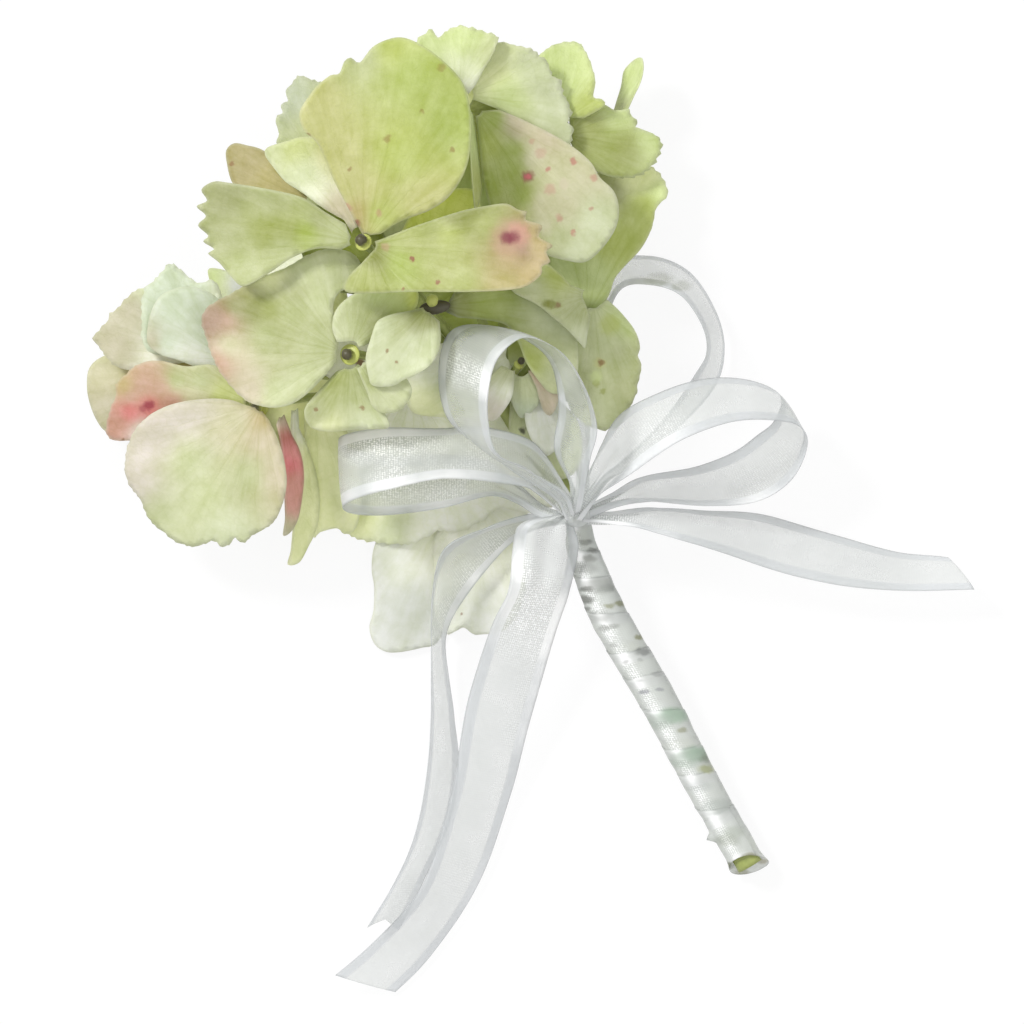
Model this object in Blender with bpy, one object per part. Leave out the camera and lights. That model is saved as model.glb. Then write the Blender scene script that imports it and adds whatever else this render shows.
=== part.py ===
"""Hydrangea corsage: florets on a branching stem, a ribbon-wrapped handle and a ribbon bow."""
import math

import bmesh
import bpy
from mathutils import Matrix, Vector
from mathutils.geometry import delaunay_2d_cdt

# ---- driving dimensions, in millimetres ----
MM = 0.001
SEPAL_THICKNESS = 0.45
RIBBON_WIDTH = 12.7
RIBBON_THICKNESS = 0.40
STEM_RADIUS = 2.25
WRAP_WALL = 0.45

for stale in list(bpy.data.objects):
    bpy.data.objects.remove(stale, do_unlink=True)


def material(name, colour, roughness):
    mat = bpy.data.materials.new(name)
    mat.use_nodes = True
    shader = mat.node_tree.nodes["Principled BSDF"]
    shader.inputs["Base Color"].default_value = (*colour, 1.0)
    shader.inputs["Roughness"].default_value = roughness
    return mat


def add_object(name, bm, mat, thickness=None):
    bmesh.ops.recalc_face_normals(bm, faces=bm.faces)
    mesh = bpy.data.meshes.new(name)
    bm.to_mesh(mesh)
    bm.free()
    for polygon in mesh.polygons:
        polygon.use_smooth = True
    mesh.materials.append(mat)
    piece = bpy.data.objects.new(name, mesh)
    bpy.context.scene.collection.objects.link(piece)
    if thickness:
        shell = piece.modifiers.new("thickness", "SOLIDIFY")
        shell.thickness = thickness * MM
        shell.offset = 0.0
    return piece


def spline(keys, per_span):
    """Catmull-Rom curve through rows of numbers."""
    rows = [Vector(key) for key in keys]
    rows = [rows[0] * 2 - rows[1]] + rows + [rows[-1] * 2 - rows[-2]]
    out = []
    for i in range(1, len(rows) - 2):
        a, b, c, d = rows[i - 1:i + 3]
        for step in range(per_span):
            t = step / per_span
            out.append(0.5 * (2 * b + (c - a) * t + (2 * a - 5 * b + 4 * c - d) * t * t
                              + (3 * b - a - 3 * c + d) * t ** 3))
    out.append(rows[-2])
    return out


# ---- sepals: thin blades that start at a narrow claw and are bent along and across ----
CLAW = 1.8
CLAW_FAN = 38


def within(spot, edge):
    """True if the spot is inside the closed outline."""
    inside = False
    for one, two in zip(edge, edge[1:] + edge[:1]):
        if (one.y > spot.y) != (two.y > spot.y):
            if spot.x < one.x + (spot.y - one.y) * (two.x - one.x) / (two.y - one.y):
                inside = not inside
    return inside


def clearance(spot, edge):
    """Distance from the spot to the nearest stretch of the outline."""
    nearest = math.inf
    for one, two in zip(edge, edge[1:] + edge[:1]):
        run = two - one
        share = min(1.0, max(0.0, (spot - one).dot(run) / run.length_squared))
        nearest = min(nearest, (spot - one - run * share).length)
    return nearest


def sepal(name, mat, base, tip, outline, roll=0, cup=0.6, arch=1.0, twist=0):
    """Outline is the sepal's edge as seen from above, walked once round from claw to claw."""
    base = Vector(base)
    axis = Vector(tip) - base
    length = axis.length
    forward = axis / length
    flat_side = Vector((0, 0, 1)).cross(forward).normalized()
    side = Matrix.Rotation(math.radians(-roll), 3, forward) @ flat_side
    up = forward.cross(side)
    det = forward.x * side.y - forward.y * side.x
    edge = []
    for x, y in outline:
        dx = x - base.x
        dy = y - base.y
        edge.append(Vector(((dx * side.y - dy * side.x) / det, (forward.x * dy - forward.y * dx) / det)))
    half = max(abs(point.y) for point in edge)
    turn = 1 if edge[0].y < edge[-1].y else -1
    for angle in (CLAW_FAN, 0, -CLAW_FAN):
        fan = math.radians(angle * turn)
        edge.append(Vector((CLAW * math.cos(fan), CLAW * math.sin(fan))))
    step = max(2.4, length / 5)
    inner = []
    for row in range(-1, math.ceil(1.3 * length / step)):
        for column in range(-math.ceil(half / step), math.ceil(half / step) + 1):
            spot = Vector((row * step, (column + 0.5 * (row % 2)) * step))
            if within(spot, edge) and clearance(spot, edge) > 0.5 * step:
                inner.append(spot)
    spots, _, faces, _, _, _ = delaunay_2d_cdt(edge + inner, [], [list(range(len(edge)))], 1, 1e-6)
    bm = bmesh.new()
    for spot in spots:
        along = spot.x / length
        lift = 4 * arch * along * (1 - along) + cup * (spot.y / half) ** 2 * min(1.0, along * 1.6)
        bend = Matrix.Rotation(math.radians(-twist * along), 3, forward)
        bm.verts.new((base + forward * spot.x + bend @ (side * spot.y + up * lift)) * MM)
    bm.verts.ensure_lookup_table()
    for face in faces:
        bm.faces.new([bm.verts[i] for i in face])
    return add_object(name, bm, mat, SEPAL_THICKNESS)


LIME = material("sepal_lime", (0.55, 0.62, 0.16), 0.55)
PALE = material("sepal_pale_green", (0.62, 0.68, 0.42), 0.55)
CREAM = material("sepal_cream", (0.72, 0.68, 0.5), 0.55)
PINK = material("sepal_pink", (0.68, 0.38, 0.32), 0.55)
MINT = material("sepal_mint_white", (0.7, 0.76, 0.66), 0.55)
OLIVE = material("sepal_olive", (0.34, 0.4, 0.12), 0.55)

# floret a, highest and nearest to the front
sepal("floret_a_sepal_1", LIME, (-28.0, 45.8, 36.4), (-23.6, 80.0, 38.5), [
    (-30.6, 50.5), (-33.5, 56), (-36.2, 62), (-38.6, 64.5), (-39.3, 67.5), (-37.5, 70.5), (-36, 72.2),
    (-34, 73.7), (-32.5, 74), (-31.6, 76), (-30.5, 76.6), (-29, 75.8), (-26.5, 78.6), (-22.5, 80),
    (-19, 79),
    (-15.5, 76.6), (-12, 73), (-10.6, 69), (-10.3, 64), (-11, 58.5), (-13.5, 53.8), (-17, 51), (-22, 49),
    (-25.5, 46.8)], roll=-4, cup=1.0, arch=2.4)
sepal("floret_a_sepal_2", LIME, (-27.3, 44.8, 35.2), (3.4, 45.0, 37.5), [
    (-24.8, 46), (-20, 47.8), (-12, 50.3), (-7.5, 51.2), (-4, 51.6), (-2, 50.6), (-0.5, 50.3), (-0.8, 49),
    (2, 48), (1.4, 46.2), (3.7, 44.8), (2.6, 43.7), (3.3, 42), (1.9, 41.2), (1.8, 39.8), (-0.5, 37.8),
    (-3.5, 37), (-10, 36.6), (-20, 36.8), (-27, 36.7), (-31.5, 37.2), (-31, 39.5), (-29, 41.5)],
    roll=6, cup=1.5, arch=1.5)
sepal("floret_a_sepal_3", PALE, (-29.6, 45.5, 35.0), (-56.4, 48.0, 30.0), [
    (-31.3, 48.5), (-34.5, 50.5), (-38.5, 53.2), (-44, 54.6), (-50.5, 55.6), (-53.5, 55.8), (-55.6, 54.4),
    (-54.6, 52.6), (-56.4, 51.6), (-54.8, 50), (-56.2, 48.4), (-54.5, 46.6), (-55.4, 45.6), (-53.5, 44.3),
    (-54.6, 43.6), (-52.5, 42), (-50.5, 40), (-48, 38.3), (-44, 40.4), (-40, 43), (-36, 44.4),
    (-32, 44.2)],
    roll=8, cup=1.0, arch=1.5)
sepal("floret_a_sepal_4", MINT, (-29.2, 46.8, 33.8), (-44.6, 61.2, 28.5), [
    (-31.5, 49), (-35, 51), (-38.5, 53.6), (-41.5, 55.6), (-43.8, 58.4), (-45, 60.2), (-44.6, 61.4),
    (-41.5, 62.3), (-38, 63), (-34, 62), (-31, 57), (-29.3, 51)])
# floret b, in front and a little lower
sepal("floret_b_sepal_1", PALE, (-31.8, 26.8, 29.0), (-55.8, 30.2, 24.0), [
    (-32.5, 30), (-33.3, 34), (-33.5, 38.5), (-37, 41.5), (-41, 41.2), (-45.5, 39.5), (-50, 37),
    (-54.6, 34.6), (-56, 32.2), (-55.2, 29.8), (-54, 26.8), (-52.6, 24), (-50.8, 21.4), (-48, 18.7),
    (-44.5, 17.5), (-41, 17.7), (-38, 19.4), (-35, 22.5), (-33, 25)], roll=2, cup=0.8, arch=2.0)
sepal("floret_b_sepal_2", PALE, (-30.4, 27.6, 29.4), (-20.5, 35.8, 26.0), [
    (-32.8, 28.5), (-33.7, 31), (-33.2, 33.8), (-31.2, 36), (-28, 37.4), (-23.6, 38), (-19.8, 37.6),
    (-19.4, 35), (-21.4, 32), (-24.6, 29.8), (-28.4, 27.8)], roll=-6, cup=0.8, arch=0.6)
sepal("floret_b_sepal_3", PALE, (-30.8, 25.0, 27.6), (-30.0, 12.0, 24.6), [
    (-33, 23.6), (-36, 20.5), (-38.4, 17.5), (-37.5, 14.5), (-34.5, 12.8), (-30, 11.6), (-26, 12.4),
    (-24, 14.6), (-25.4, 18), (-26.8, 21), (-28, 23.6), (-29.3, 24.8)])
sepal("floret_b_sepal_4", CREAM, (-29.6, 25.2, 29.6), (-22.4, 17.0, 27.8), [
    (-29, 22.8), (-27.8, 20), (-27, 17.8), (-25.2, 16.5), (-22.4, 16.9), (-20.6, 19), (-20.4, 21.2),
    (-22.5, 23.6), (-26.6, 25.6)], cup=0.4, arch=0.4)
# floret k, half hidden behind the first two
sepal("floret_k_sepal_1", CREAM, (-17.2, 34.6, 29.0), (-27.4, 21.6, 30.0), [
    (-20, 33.9), (-23.4, 33.2), (-26, 32), (-27, 29.6), (-28, 26), (-27.6, 23), (-26.8, 21.1), (-23.5, 21),
    (-21.5, 22.1), (-20, 22.7), (-17.6, 24.1), (-15.9, 26.4), (-15.3, 29), (-15.5, 32)], cup=0.4)
sepal("floret_k_sepal_2", OLIVE, (-15.2, 34.6, 24.4), (9.2, 26.6, 19.2), [
    (-13, 37), (-6, 38.6), (2, 38), (5.6, 34.5), (7.4, 31.2), (8.0, 27), (7.8, 22.8), (6, 20.2),
    (3.2, 20), (0.8, 22.6), (-1, 25.4), (-2.2, 28.6), (-4.2, 31.4), (-8, 32.3), (-12.4, 32.7)],
    cup=0.2, arch=0.2)
sepal("floret_k_sepal_3", OLIVE, (-16.6, 36.6, 28.2), (-14.0, 51.5, 26.0), [
    (-19.5, 38), (-22, 43), (-21.5, 48), (-18, 51), (-13, 51.5), (-9.5, 50.5), (-9, 46), (-11, 41),
    (-14.5, 37.5)])
# floret c, low at the left
sepal("floret_c_sepal_1", CREAM, (-45.7, 17.9, 23.2), (-57.0, -6.0, 14.0), [
    (-48.4, 18.0), (-51.0, 18.9), (-55, 19.2), (-60, 18.6), (-64, 16.8), (-66.7, 14), (-68.2, 10.5),
    (-68.4, 6.5),
    (-67.4, 4), (-66.2, 2.4), (-65.8, 0.5), (-64.9, -2), (-62, -4.6), (-59.5, -5.9), (-56.5, -6),
    (-53.6, -4.9), (-52.3, -6), (-51, -5.6), (-49.9, -4.4), (-48.6, -5.3), (-46.5, -3.6), (-43.4, -1.8),
    (-41.6, 1), (-40.8, 5), (-41.4, 9), (-42.6, 12.4), (-44.2, 15.4)], roll=-8, cup=-0.5, arch=3.0)
sepal("floret_c_sepal_2", PINK, (-47.3, 18.2, 22.2), (-72.0, 15.5, 13.0), [
    (-50, 20.4), (-54, 22.6), (-58, 24.6), (-62.5, 25.6), (-66, 25), (-68.5, 23), (-70.1, 21.5), (-70, 20),
    (-71.4, 17), (-72.2, 13.5), (-71, 12), (-68.3, 11.9), (-63, 12), (-57, 14), (-51, 16.4)],
    roll=4, cup=0.5, arch=1.5)
sepal("floret_c_sepal_3", PINK, (-42.4, 16.8, 22.0), (-40.6, -4.6, 14.0), [
    (-43.2, 14.6), (-42.6, 10), (-42.2, 5), (-42, 1), (-42, -1.5), (-42.4, -4.2), (-41, -3.6),
    (-40, -1.6), (-39.4, 2), (-39.2, 6), (-39.8, 10), (-41, 13)], roll=56, cup=0.4, arch=0.4)
sepal("floret_c_sepal_4", LIME, (-40.2, 18.0, 15.0), (-38.8, -9.4, 6.0), [
    (-41, 14), (-40.6, 9), (-40.5, 4), (-40.6, 0), (-40.8, -4), (-41, -7), (-41.5, -9.2), (-39.5, -8.8),
    (-38, -6), (-36.8, -3), (-36.3, 1), (-36.6, 5), (-38, 10), (-39.6, 14)], roll=42, cup=0.4, arch=0.4)
# floret l, behind floret c
sepal("floret_l_sepal_1", MINT, (-51.4, 25.6, 18.0), (-64.6, 32.6, 18.2), [
    (-52.6, 22.4), (-55.1, 23.5), (-57.4, 24.5), (-60.2, 25.6), (-63, 26.5), (-65.1, 28.4), (-65, 31.6),
    (-64, 34.9), (-62.1, 37), (-58.8, 38), (-56, 37.6), (-53, 35.8), (-50.4, 32), (-49.6, 28.4)], cup=0.4,
    arch=0.6)
sepal("floret_l_sepal_2", MINT, (-54.2, 27.6, 16.5), (-61.4, 41.8, 14.5), [
    (-60, 26.6), (-64, 26.4), (-65.9, 28.5), (-66, 33), (-65.9, 37), (-64.5, 38.6), (-63, 40), (-62, 41.5),
    (-61, 41.9), (-59.4, 40.8), (-57.6, 39.2), (-56.2, 38.4), (-54, 39), (-52.5, 36.5), (-53, 32)])
sepal("floret_l_sepal_3", CREAM, (-54.8, 26.2, 15.0), (-73.9, 30.6, 10.6), [
    (-60, 33), (-62, 37), (-65.3, 37.8), (-68, 36.6), (-70, 34.4), (-71.4, 33.5), (-71.6, 32.4),
    (-73.4, 30.6), (-74.4, 29.2), (-72.4, 26.5), (-70.5, 24.5), (-66, 23.5), (-61, 24.6)])
sepal("floret_l_sepal_4", CREAM, (-54.6, 24.6, 13.6), (-75.6, 20.4, 4.5), [
    (-62, 26.5), (-68, 27.4), (-72.6, 26.2), (-75, 24.2), (-75.6, 21), (-75.2, 18.4), (-74, 15.8),
    (-72, 13.6), (-69, 13), (-64, 16), (-60, 21)])
# floret g, upper left at the back
sepal("floret_g_sepal_1", CREAM, (-37.0, 52.4, 27.0), (-51.4, 61.6, 22.0), [
    (-41, 57.5), (-45, 60.8), (-48, 61.8), (-50.2, 62.2), (-51.6, 61), (-51.4, 58.6), (-50.4, 55.4),
    (-48, 53), (-43, 51.6)])
sepal("floret_g_sepal_2", MINT, (-35.0, 57.0, 25.0), (-41.6, 73.2, 17.0), [
    (-38.5, 59), (-42.8, 61.5), (-42.6, 63.5), (-43.1, 66), (-42, 67), (-42.3, 68.5), (-41.2, 69.2),
    (-41.5, 71), (-40.5, 72.3), (-39.5, 73.5), (-38.4, 73.2), (-36, 72.4), (-33, 71), (-31.5, 66),
    (-33, 61)])
# floret d, upper middle
sepal("floret_d_sepal_1", LIME, (-12.2, 71.0, 26.6), (-12.4, 82.0, 24.5), [
    (-14.5, 73), (-17, 75), (-19.5, 78.8), (-17.8, 80.6), (-16.8, 81.4), (-15.8, 79.9), (-14.6, 81),
    (-12, 81.9), (-9, 81.4), (-6.8, 80.6), (-5.6, 79.6), (-6.4, 77), (-8, 74.4), (-9.4, 72),
    (-10.6, 70.6)])
sepal("floret_d_sepal_2", PALE, (-10.8, 70.4, 25.2), (6.4, 70.0, 19.0), [
    (-9.6, 74), (-8.8, 77), (-6, 79.4), (-2, 78.6), (-0.4, 78.2), (1, 77.4), (2.8, 75.6), (3.4, 73.8),
    (4.8, 73), (5.6, 70.2), (6.8, 68.8), (6.8, 67), (6, 65.8), (7, 64.6), (6.6, 62.4), (5.8, 60.6),
    (3.2, 62.4),
    (-1.6, 65.6), (-6.2, 68.2)])
sepal("floret_d_sepal_3", CREAM, (-9.4, 68.0, 24.6), (9.0, 45.4, 21.6), [
    (-5.6, 68), (-2, 66.6), (3, 64.2), (7, 61.8), (10, 59.2), (11.6, 56.6), (14, 54.2), (14.9, 51.2),
    (14.4, 48), (12.4, 44.8), (9.4, 42.2), (6, 42.4), (2, 43.6), (-3, 46), (-6.4, 50), (-8.2, 56),
    (-8.8, 62)], arch=2.0)
sepal("floret_d_sepal_4", OLIVE, (-11.8, 67.4, 21.6), (-7.0, 48.0, 18.6), [
    (-13.4, 63), (-14, 57), (-13.4, 51), (-10, 48), (-5, 47.5), (-2, 50), (-2.6, 56), (-4.6, 62),
    (-5.4, 67), (-5.2, 70.6), (-6.6, 72.4), (-8.8, 71.4), (-10.4, 68.8)], arch=0.4)
sepal("floret_d_sepal_5", MINT, (-10.9, 69.4, 29.0), (-9.6, 50.6, 30.0), [
    (-10.7, 64), (-10.5, 58), (-10.0, 53), (-9.6, 50.8), (-9.1, 53.5), (-9.1, 57), (-9.5, 62), (-10, 67)],
    roll=80, cup=0.3, arch=0.3)
# floret e, upper right
sepal("floret_e_sepal_1", LIME, (5.0, 66.0, 17.5), (8.2, 79.8, 14.5), [
    (1.5, 68), (0, 72), (0.6, 76), (3, 78.4), (6, 79.6), (8.2, 79.4), (9.4, 77.6), (10.4, 75),
    (10.9, 72.4),
    (10.6, 70), (12, 69.6), (12.5, 68.4), (9, 66.5)])
sepal("floret_e_sepal_2", LIME, (13.0, 64.5, 7.0), (18.6, 77.0, 8.5), [
    (14.5, 68.3), (15.6, 72), (16.4, 75), (19, 76.9), (19.2, 72.6), (18, 70), (16.4, 67)],
    roll=64, cup=0.5, arch=0.3)
sepal("floret_e_sepal_3", LIME, (5.6, 63.8, 16.6), (22.0, 62.5, 11.0), [
    (6.5, 67.6), (9, 69), (10.5, 68.4), (12, 69), (14, 68), (16.4, 68.2), (16.8, 66.9), (18, 66.3),
    (17.6, 65.2), (19.6, 64.4), (21, 63.8), (22.2, 62.2), (21.4, 60.2), (20.2, 58.4), (17, 56.6), (12, 57),
    (8, 59.5)])
# floret f, right, next to the ribbon loops
sepal("floret_f_sepal_1", LIME, (9.6, 33.2, 13.3), (20.0, 57.0, 9.0), [
    (12.0, 34.2), (13.4, 36.8), (14.2, 39.2), (16, 41.4), (18.6, 44.2), (20.4, 47.6), (21.2, 51), (22.2, 52.4),
    (23.3, 53.6), (22.6, 56.4), (20.4, 58.6), (16, 59), (11, 57), (6, 52), (3, 46), (2.4, 42), (4.6, 38.4),
    (6.6, 35.2)], arch=1.6)
sepal("floret_f_sepal_2", PALE, (10.6, 35.4, 16.6), (15.0, 14.8, 13.0), [
    (13, 35.8), (15, 34), (17.2, 31.4), (18.2, 29.4), (18.5, 27.6), (18.1, 26.5), (18.7, 25), (18.5, 23),
    (18, 21.4), (18.1, 20), (17.2, 18.4), (16.4, 16.6), (14.6, 14.2), (11, 14.0), (7.6, 16), (5.6, 20),
    (5.4, 25), (6.8, 30), (8.4, 34)])
sepal("floret_f_sepal_3", PALE, (9.6, 36.4, 20.0), (-1.0, 40.0, 23.4), [
    (6.4, 38), (4.4, 40), (1.6, 42), (-1.4, 41.6), (-3, 38.4), (-2.8, 36.8), (1, 34.4), (5.2, 31),
    (8.2, 28.6), (9.4, 27.6), (9.7, 30), (10.2, 33)], roll=-15)
# floret n, seen through the upper ribbon loop
sepal("floret_n_sepal_1", CREAM, (-3.0, 24.8, 18.6), (-6.8, 15.2, 17.5), [
    (-5.0, 24.6), (-7.4, 22), (-8.2, 19), (-8.1, 16), (-7.4, 15.2), (-5.9, 15.4), (-4.7, 16.8),
    (-3.6, 18.4), (-3.0, 20), (-2.8, 22)],
    arch=0.4)
sepal("floret_n_sepal_2", PALE, (-1.6, 23.8, 17.6), (-1.4, 15.6, 15.8), [
    (-3.2, 23.4), (-4.2, 21.6), (-3.6, 19.2), (-2.7, 17.2), (-1.7, 15.7), (-0.4, 16.3), (1.1, 18),
    (1.4, 20.2), (0.9, 22.4), (-0.2, 23.6)], arch=0.4)
sepal("floret_n_sepal_3", CREAM, (-0.2, 24.8, 19.4), (3.4, 16.2, 17.6), [
    (0.9, 21), (1.5, 18.6), (2.2, 16.8), (3.2, 16.1), (4.2, 17.4), (4.8, 21), (3.6, 25), (1, 26)], arch=0.4)
sepal("floret_n_sepal_4", PALE, (-3.2, 26.4, 16.0), (-20.4, 20.0, 18.2), [
    (-4, 28), (-8, 29.8), (-12.6, 29.0), (-17, 27.6), (-20.4, 24.6), (-21.2, 20), (-20, 16.6),
    (-15, 15.8), (-10.4, 15.8), (-7.4, 16.6), (-5.2, 19.6), (-4.2, 22), (-3.4, 24.2)], arch=0.2, cup=0.2)
sepal("floret_n_sepal_5", CREAM, (0.6, 22.6, 15.4), (2.6, 9.2, 15.6), [
    (-0.8, 19), (-1, 15.4), (0.2, 11.8), (2.4, 9.2), (4.6, 10.8), (5.4, 14.6), (4.6, 19), (2.4, 22.2)],
    cup=0.2, arch=0.0)
# floret h, under the bow
sepal("floret_h_sepal_1", PALE, (-36.6, 18.2, 12.0), (-33.8, -3.6, 4.4), [
    (-38.6, 16), (-38.4, 11), (-37.6, 5), (-37.2, 0), (-37.0, -4.4), (-35.9, -3.6), (-33, -3.0),
    (-31.8, -4), (-29.8, -3), (-28.8, 2), (-29.4, 8), (-31, 13), (-34, 16.6)], cup=0.1, arch=0.0)
sepal("floret_h_sepal_2", PALE, (-20.4, 21.0, 7.0), (-23.0, -5.9, 3.0), [
    (-26, 21), (-31.6, 14), (-34, 5), (-33.6, 0), (-31.8, -3.6), (-29, -5), (-25, -5.7), (-22, -5.8),
    (-19.4, -5.4), (-18.8, -5.1), (-15.8, -3.4), (-12, -3.4), (-8, -1.5), (-5.6, 3), (-1, 4.6), (3.4, 8),
    (4.8, 13), (4.2, 18.6), (0.4, 23), (-6, 25), (-13, 24), (-17.4, 22.4)])
sepal("floret_h_sepal_3", MINT, (-13.2, 3.2, 2.4), (-22.6, -24.1, 0.3), [
    (-18, 1.5), (-24, -1.5), (-26.6, -6.0), (-27.1, -10), (-26.7, -13), (-26.8, -17), (-27.5, -20),
    (-26.6, -22.8), (-24.6, -24.1), (-22, -24.1), (-18.5, -23.4), (-16, -22.6), (-14, -18), (-14, -10),
    (-15.5, -3.4)], cup=0.2, arch=0.2)
sepal("floret_h_sepal_4", MINT, (-9.8, 3.0, 3.5), (-10.6, -21.4, 2.0), [
    (-11.4, 0), (-13.6, -3), (-15.6, -6.5), (-16.4, -11), (-16.4, -17), (-14.6, -21), (-12.8, -20.6),
    (-11.4, -20), (-10, -21), (-8.6, -21.2), (-4, -20), (-1, -14), (-1.5, -6)], cup=0.2, arch=0.4)
# floret i, inside the head, closing the view between the others
sepal("floret_i_sepal_1", OLIVE, (-24.5, 39.0, 18.4), (-33.0, 51.5, 16.0), [
    (-29, 36.4), (-35, 38), (-39, 44), (-38, 50), (-33, 53), (-27, 50), (-23.4, 44)], arch=0.6)
sepal("floret_i_sepal_2", OLIVE, (-20.5, 35.5, 13.8), (-33.0, 27.0, 12.8), [
    (-20, 29), (-25, 22.5), (-31, 21), (-37, 25), (-37, 31), (-31, 34.6), (-25, 35)], arch=0.6)
sepal("floret_i_sepal_3", OLIVE, (-8.2, 67.2, 19.0), (-7.4, 78.0, 17.0), [
    (-12, 68), (-15, 72), (-13, 77), (-7.5, 79), (-2.6, 76.5), (-2.4, 71), (-5, 67.6)], arch=0.4)
sepal("floret_i_sepal_4", OLIVE, (-1.0, 22.8, 13.9), (5.6, 5.0, 13.6), [
    (-3.6, 18), (-3.4, 12.6), (0.6, 8.4), (4.4, 5.4), (7, 6), (8.6, 9), (8.0, 15),
    (3.6, 20)], arch=0.1, cup=0.2)
# lowest florets, under the head
sepal("floret_u_sepal_1", PALE, (-27.6, 31.0, 8.6), (-52.0, 46.0, 0.8), [
    (-36, 29), (-44, 30), (-51, 35), (-53.4, 36.4), (-54.9, 40.8), (-52.6, 41), (-50.2, 40.2), (-48.6, 42),
    (-48, 46), (-44, 49.6), (-38, 50), (-33, 44), (-31, 36)])
sepal("floret_u_sepal_2", PALE, (-26.4, 32.0, 9.6), (-30.0, 67.0, 1.2), [
    (-31, 40), (-37, 50), (-40, 58), (-37, 65), (-30, 68), (-22, 66), (-18, 58), (-20, 48), (-25, 39)])
sepal("floret_u_sepal_3", PALE, (-24.4, 30.0, 6.2), (7.0, 54.0, 1.0), [
    (-21, 36), (-18, 44), (-14, 52), (-9, 59), (-2, 62.4), (5, 61.6), (9.4, 56), (10.4, 48), (10.2, 41),
    (8.6, 34), (3.4, 30), (-3, 26.6), (-10, 22.4), (-16.4, 21.6), (-21.6, 24.6)])
sepal("floret_u_sepal_4", PALE, (-27.4, 29.0, 7.6), (-52.0, 7.0, 0.8), [
    (-32, 21), (-37, 14), (-44, 7), (-52, 4), (-56, 9), (-56, 16), (-50, 22), (-42, 26), (-36, 26)])

# ---- ribbon: rows of (edge a x, y; edge b x, y; middle z; width); edge a is the higher one ----
ORGANZA = material("ribbon_organza", (0.86, 0.87, 0.87), 0.4)


def ribbon(name, keys, per_span=4, flip=1):
    bm = bmesh.new()
    previous = None
    for ax, ay, bx, by, mid, width in spline(keys, per_span):
        flat = math.hypot(bx - ax, by - ay)
        rise = flip * math.sqrt(max(width * width - flat * flat, 0.0)) / 2
        row = []
        for part in (0.0, 0.5, 1.0):
            point = Vector((ax + (bx - ax) * part, ay + (by - ay) * part, mid + rise * (1 - 2 * part)))
            row.append(bm.verts.new(point * MM))
        if previous:
            for i in range(2):
                bm.faces.new((previous[i], previous[i + 1], row[i + 1], row[i]))
        previous = row
    return add_object(name, bm, ORGANZA, RIBBON_THICKNESS)


W = RIBBON_WIDTH
ribbon("bow_loop_left", [
    (5.0, 5.2, 3.4, 0.4, 17.4, 5.4), (2.4, 9.4, 0.6, 2.8, 18.4, 7.2), (-1.0, 12.4, -1.4, 3.9, 18.8, 9.2),
    (-8.0, 14.2, -7.0, 4.8, 19.6, 11.6),
    (-15.0, 13.9, -15.5, 5.2, 21.4, W), (-24.0, 14.0, -24.0, 3.6, 22.0, W),
    (-30.5, 13.2, -29.5, 2.0, 20.6, W),
    (-32.8, 12.0, -32.0, 0.6, 17.0, W), (-30.5, 10.4, -30.2, -0.6, 14.0, W),
    (-24.0, 9.4, -24.0, -0.8, 13.2, W),
    (-15.0, 9.4, -15.0, 0.4, 13.0, W), (-7.0, 8.2, -7.0, 2.4, 13.4, 9.0),
    (-1.6, 4.2, -2.2, 1.4, 14.0, 6.0),
    (2.4, 0.8, 1.8, -0.8, 14.2, 3.6)], per_span=3, flip=-1)
ribbon("bow_loop_upper", [
    (5.8, 2.9, 4.4, 2.3, 22.4, 5.0), (0.0, 6.8, -2.6, 6.6, 25.4, 8.0), (-5.6, 9.4, -9.4, 11.2, 27.4, 10.6),
    (-7.9, 15.0, -14.4, 16.0, 28.2, W), (-8.0, 20.2, -15.6, 23.6, 28.2, W),
    (-6.6, 26.0, -13.6, 30.2, 28.0, W),
    (-1.0, 29.2, -7.8, 31.4, 28.0, W), (4.9, 27.0, -0.6, 28.6, 28.0, W), (8.4, 22.0, 3.6, 24.6, 27.6, W),
    (11.2, 14.0, 4.8, 17.4, 27.0, W), (9.8, 7.8, 3.8, 10.4, 25.6, 10.4), (8.6, 3.4, 6.4, 4.2, 22.8, 5.4)],
    per_span=3)
ribbon("bow_loop_right", [
    (11.4, 2.0, 9.4, 5.4, 19.4, 6.0), (15.8, 5.2, 11.8, 11.2, 20.8, 10.0),
    (21.0, 9.0, 15.6, 16.6, 22.0, W),
    (27.0, 12.6, 23.6, 20.6, 22.6, W), (33.5, 15.2, 31.0, 22.5, 21.6, W),
    (40.0, 16.4, 37.6, 22.2, 18.6, W),
    (45.2, 14.6, 42.4, 19.4, 14.6, W), (47.0, 11.4, 43.0, 15.6, 11.4, W), (44.4, 5.4, 40.8, 12.6, 9.6, W),
    (38.6, 1.6, 36.0, 9.6, 8.8, W), (30.0, 0.6, 28.4, 7.6, 9.2, W), (20.5, 1.4, 19.0, 5.6, 11.4, 9.6),
    (14.2, 0.8, 13.6, 2.6, 13.8, 5.0)], per_span=3)
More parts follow.
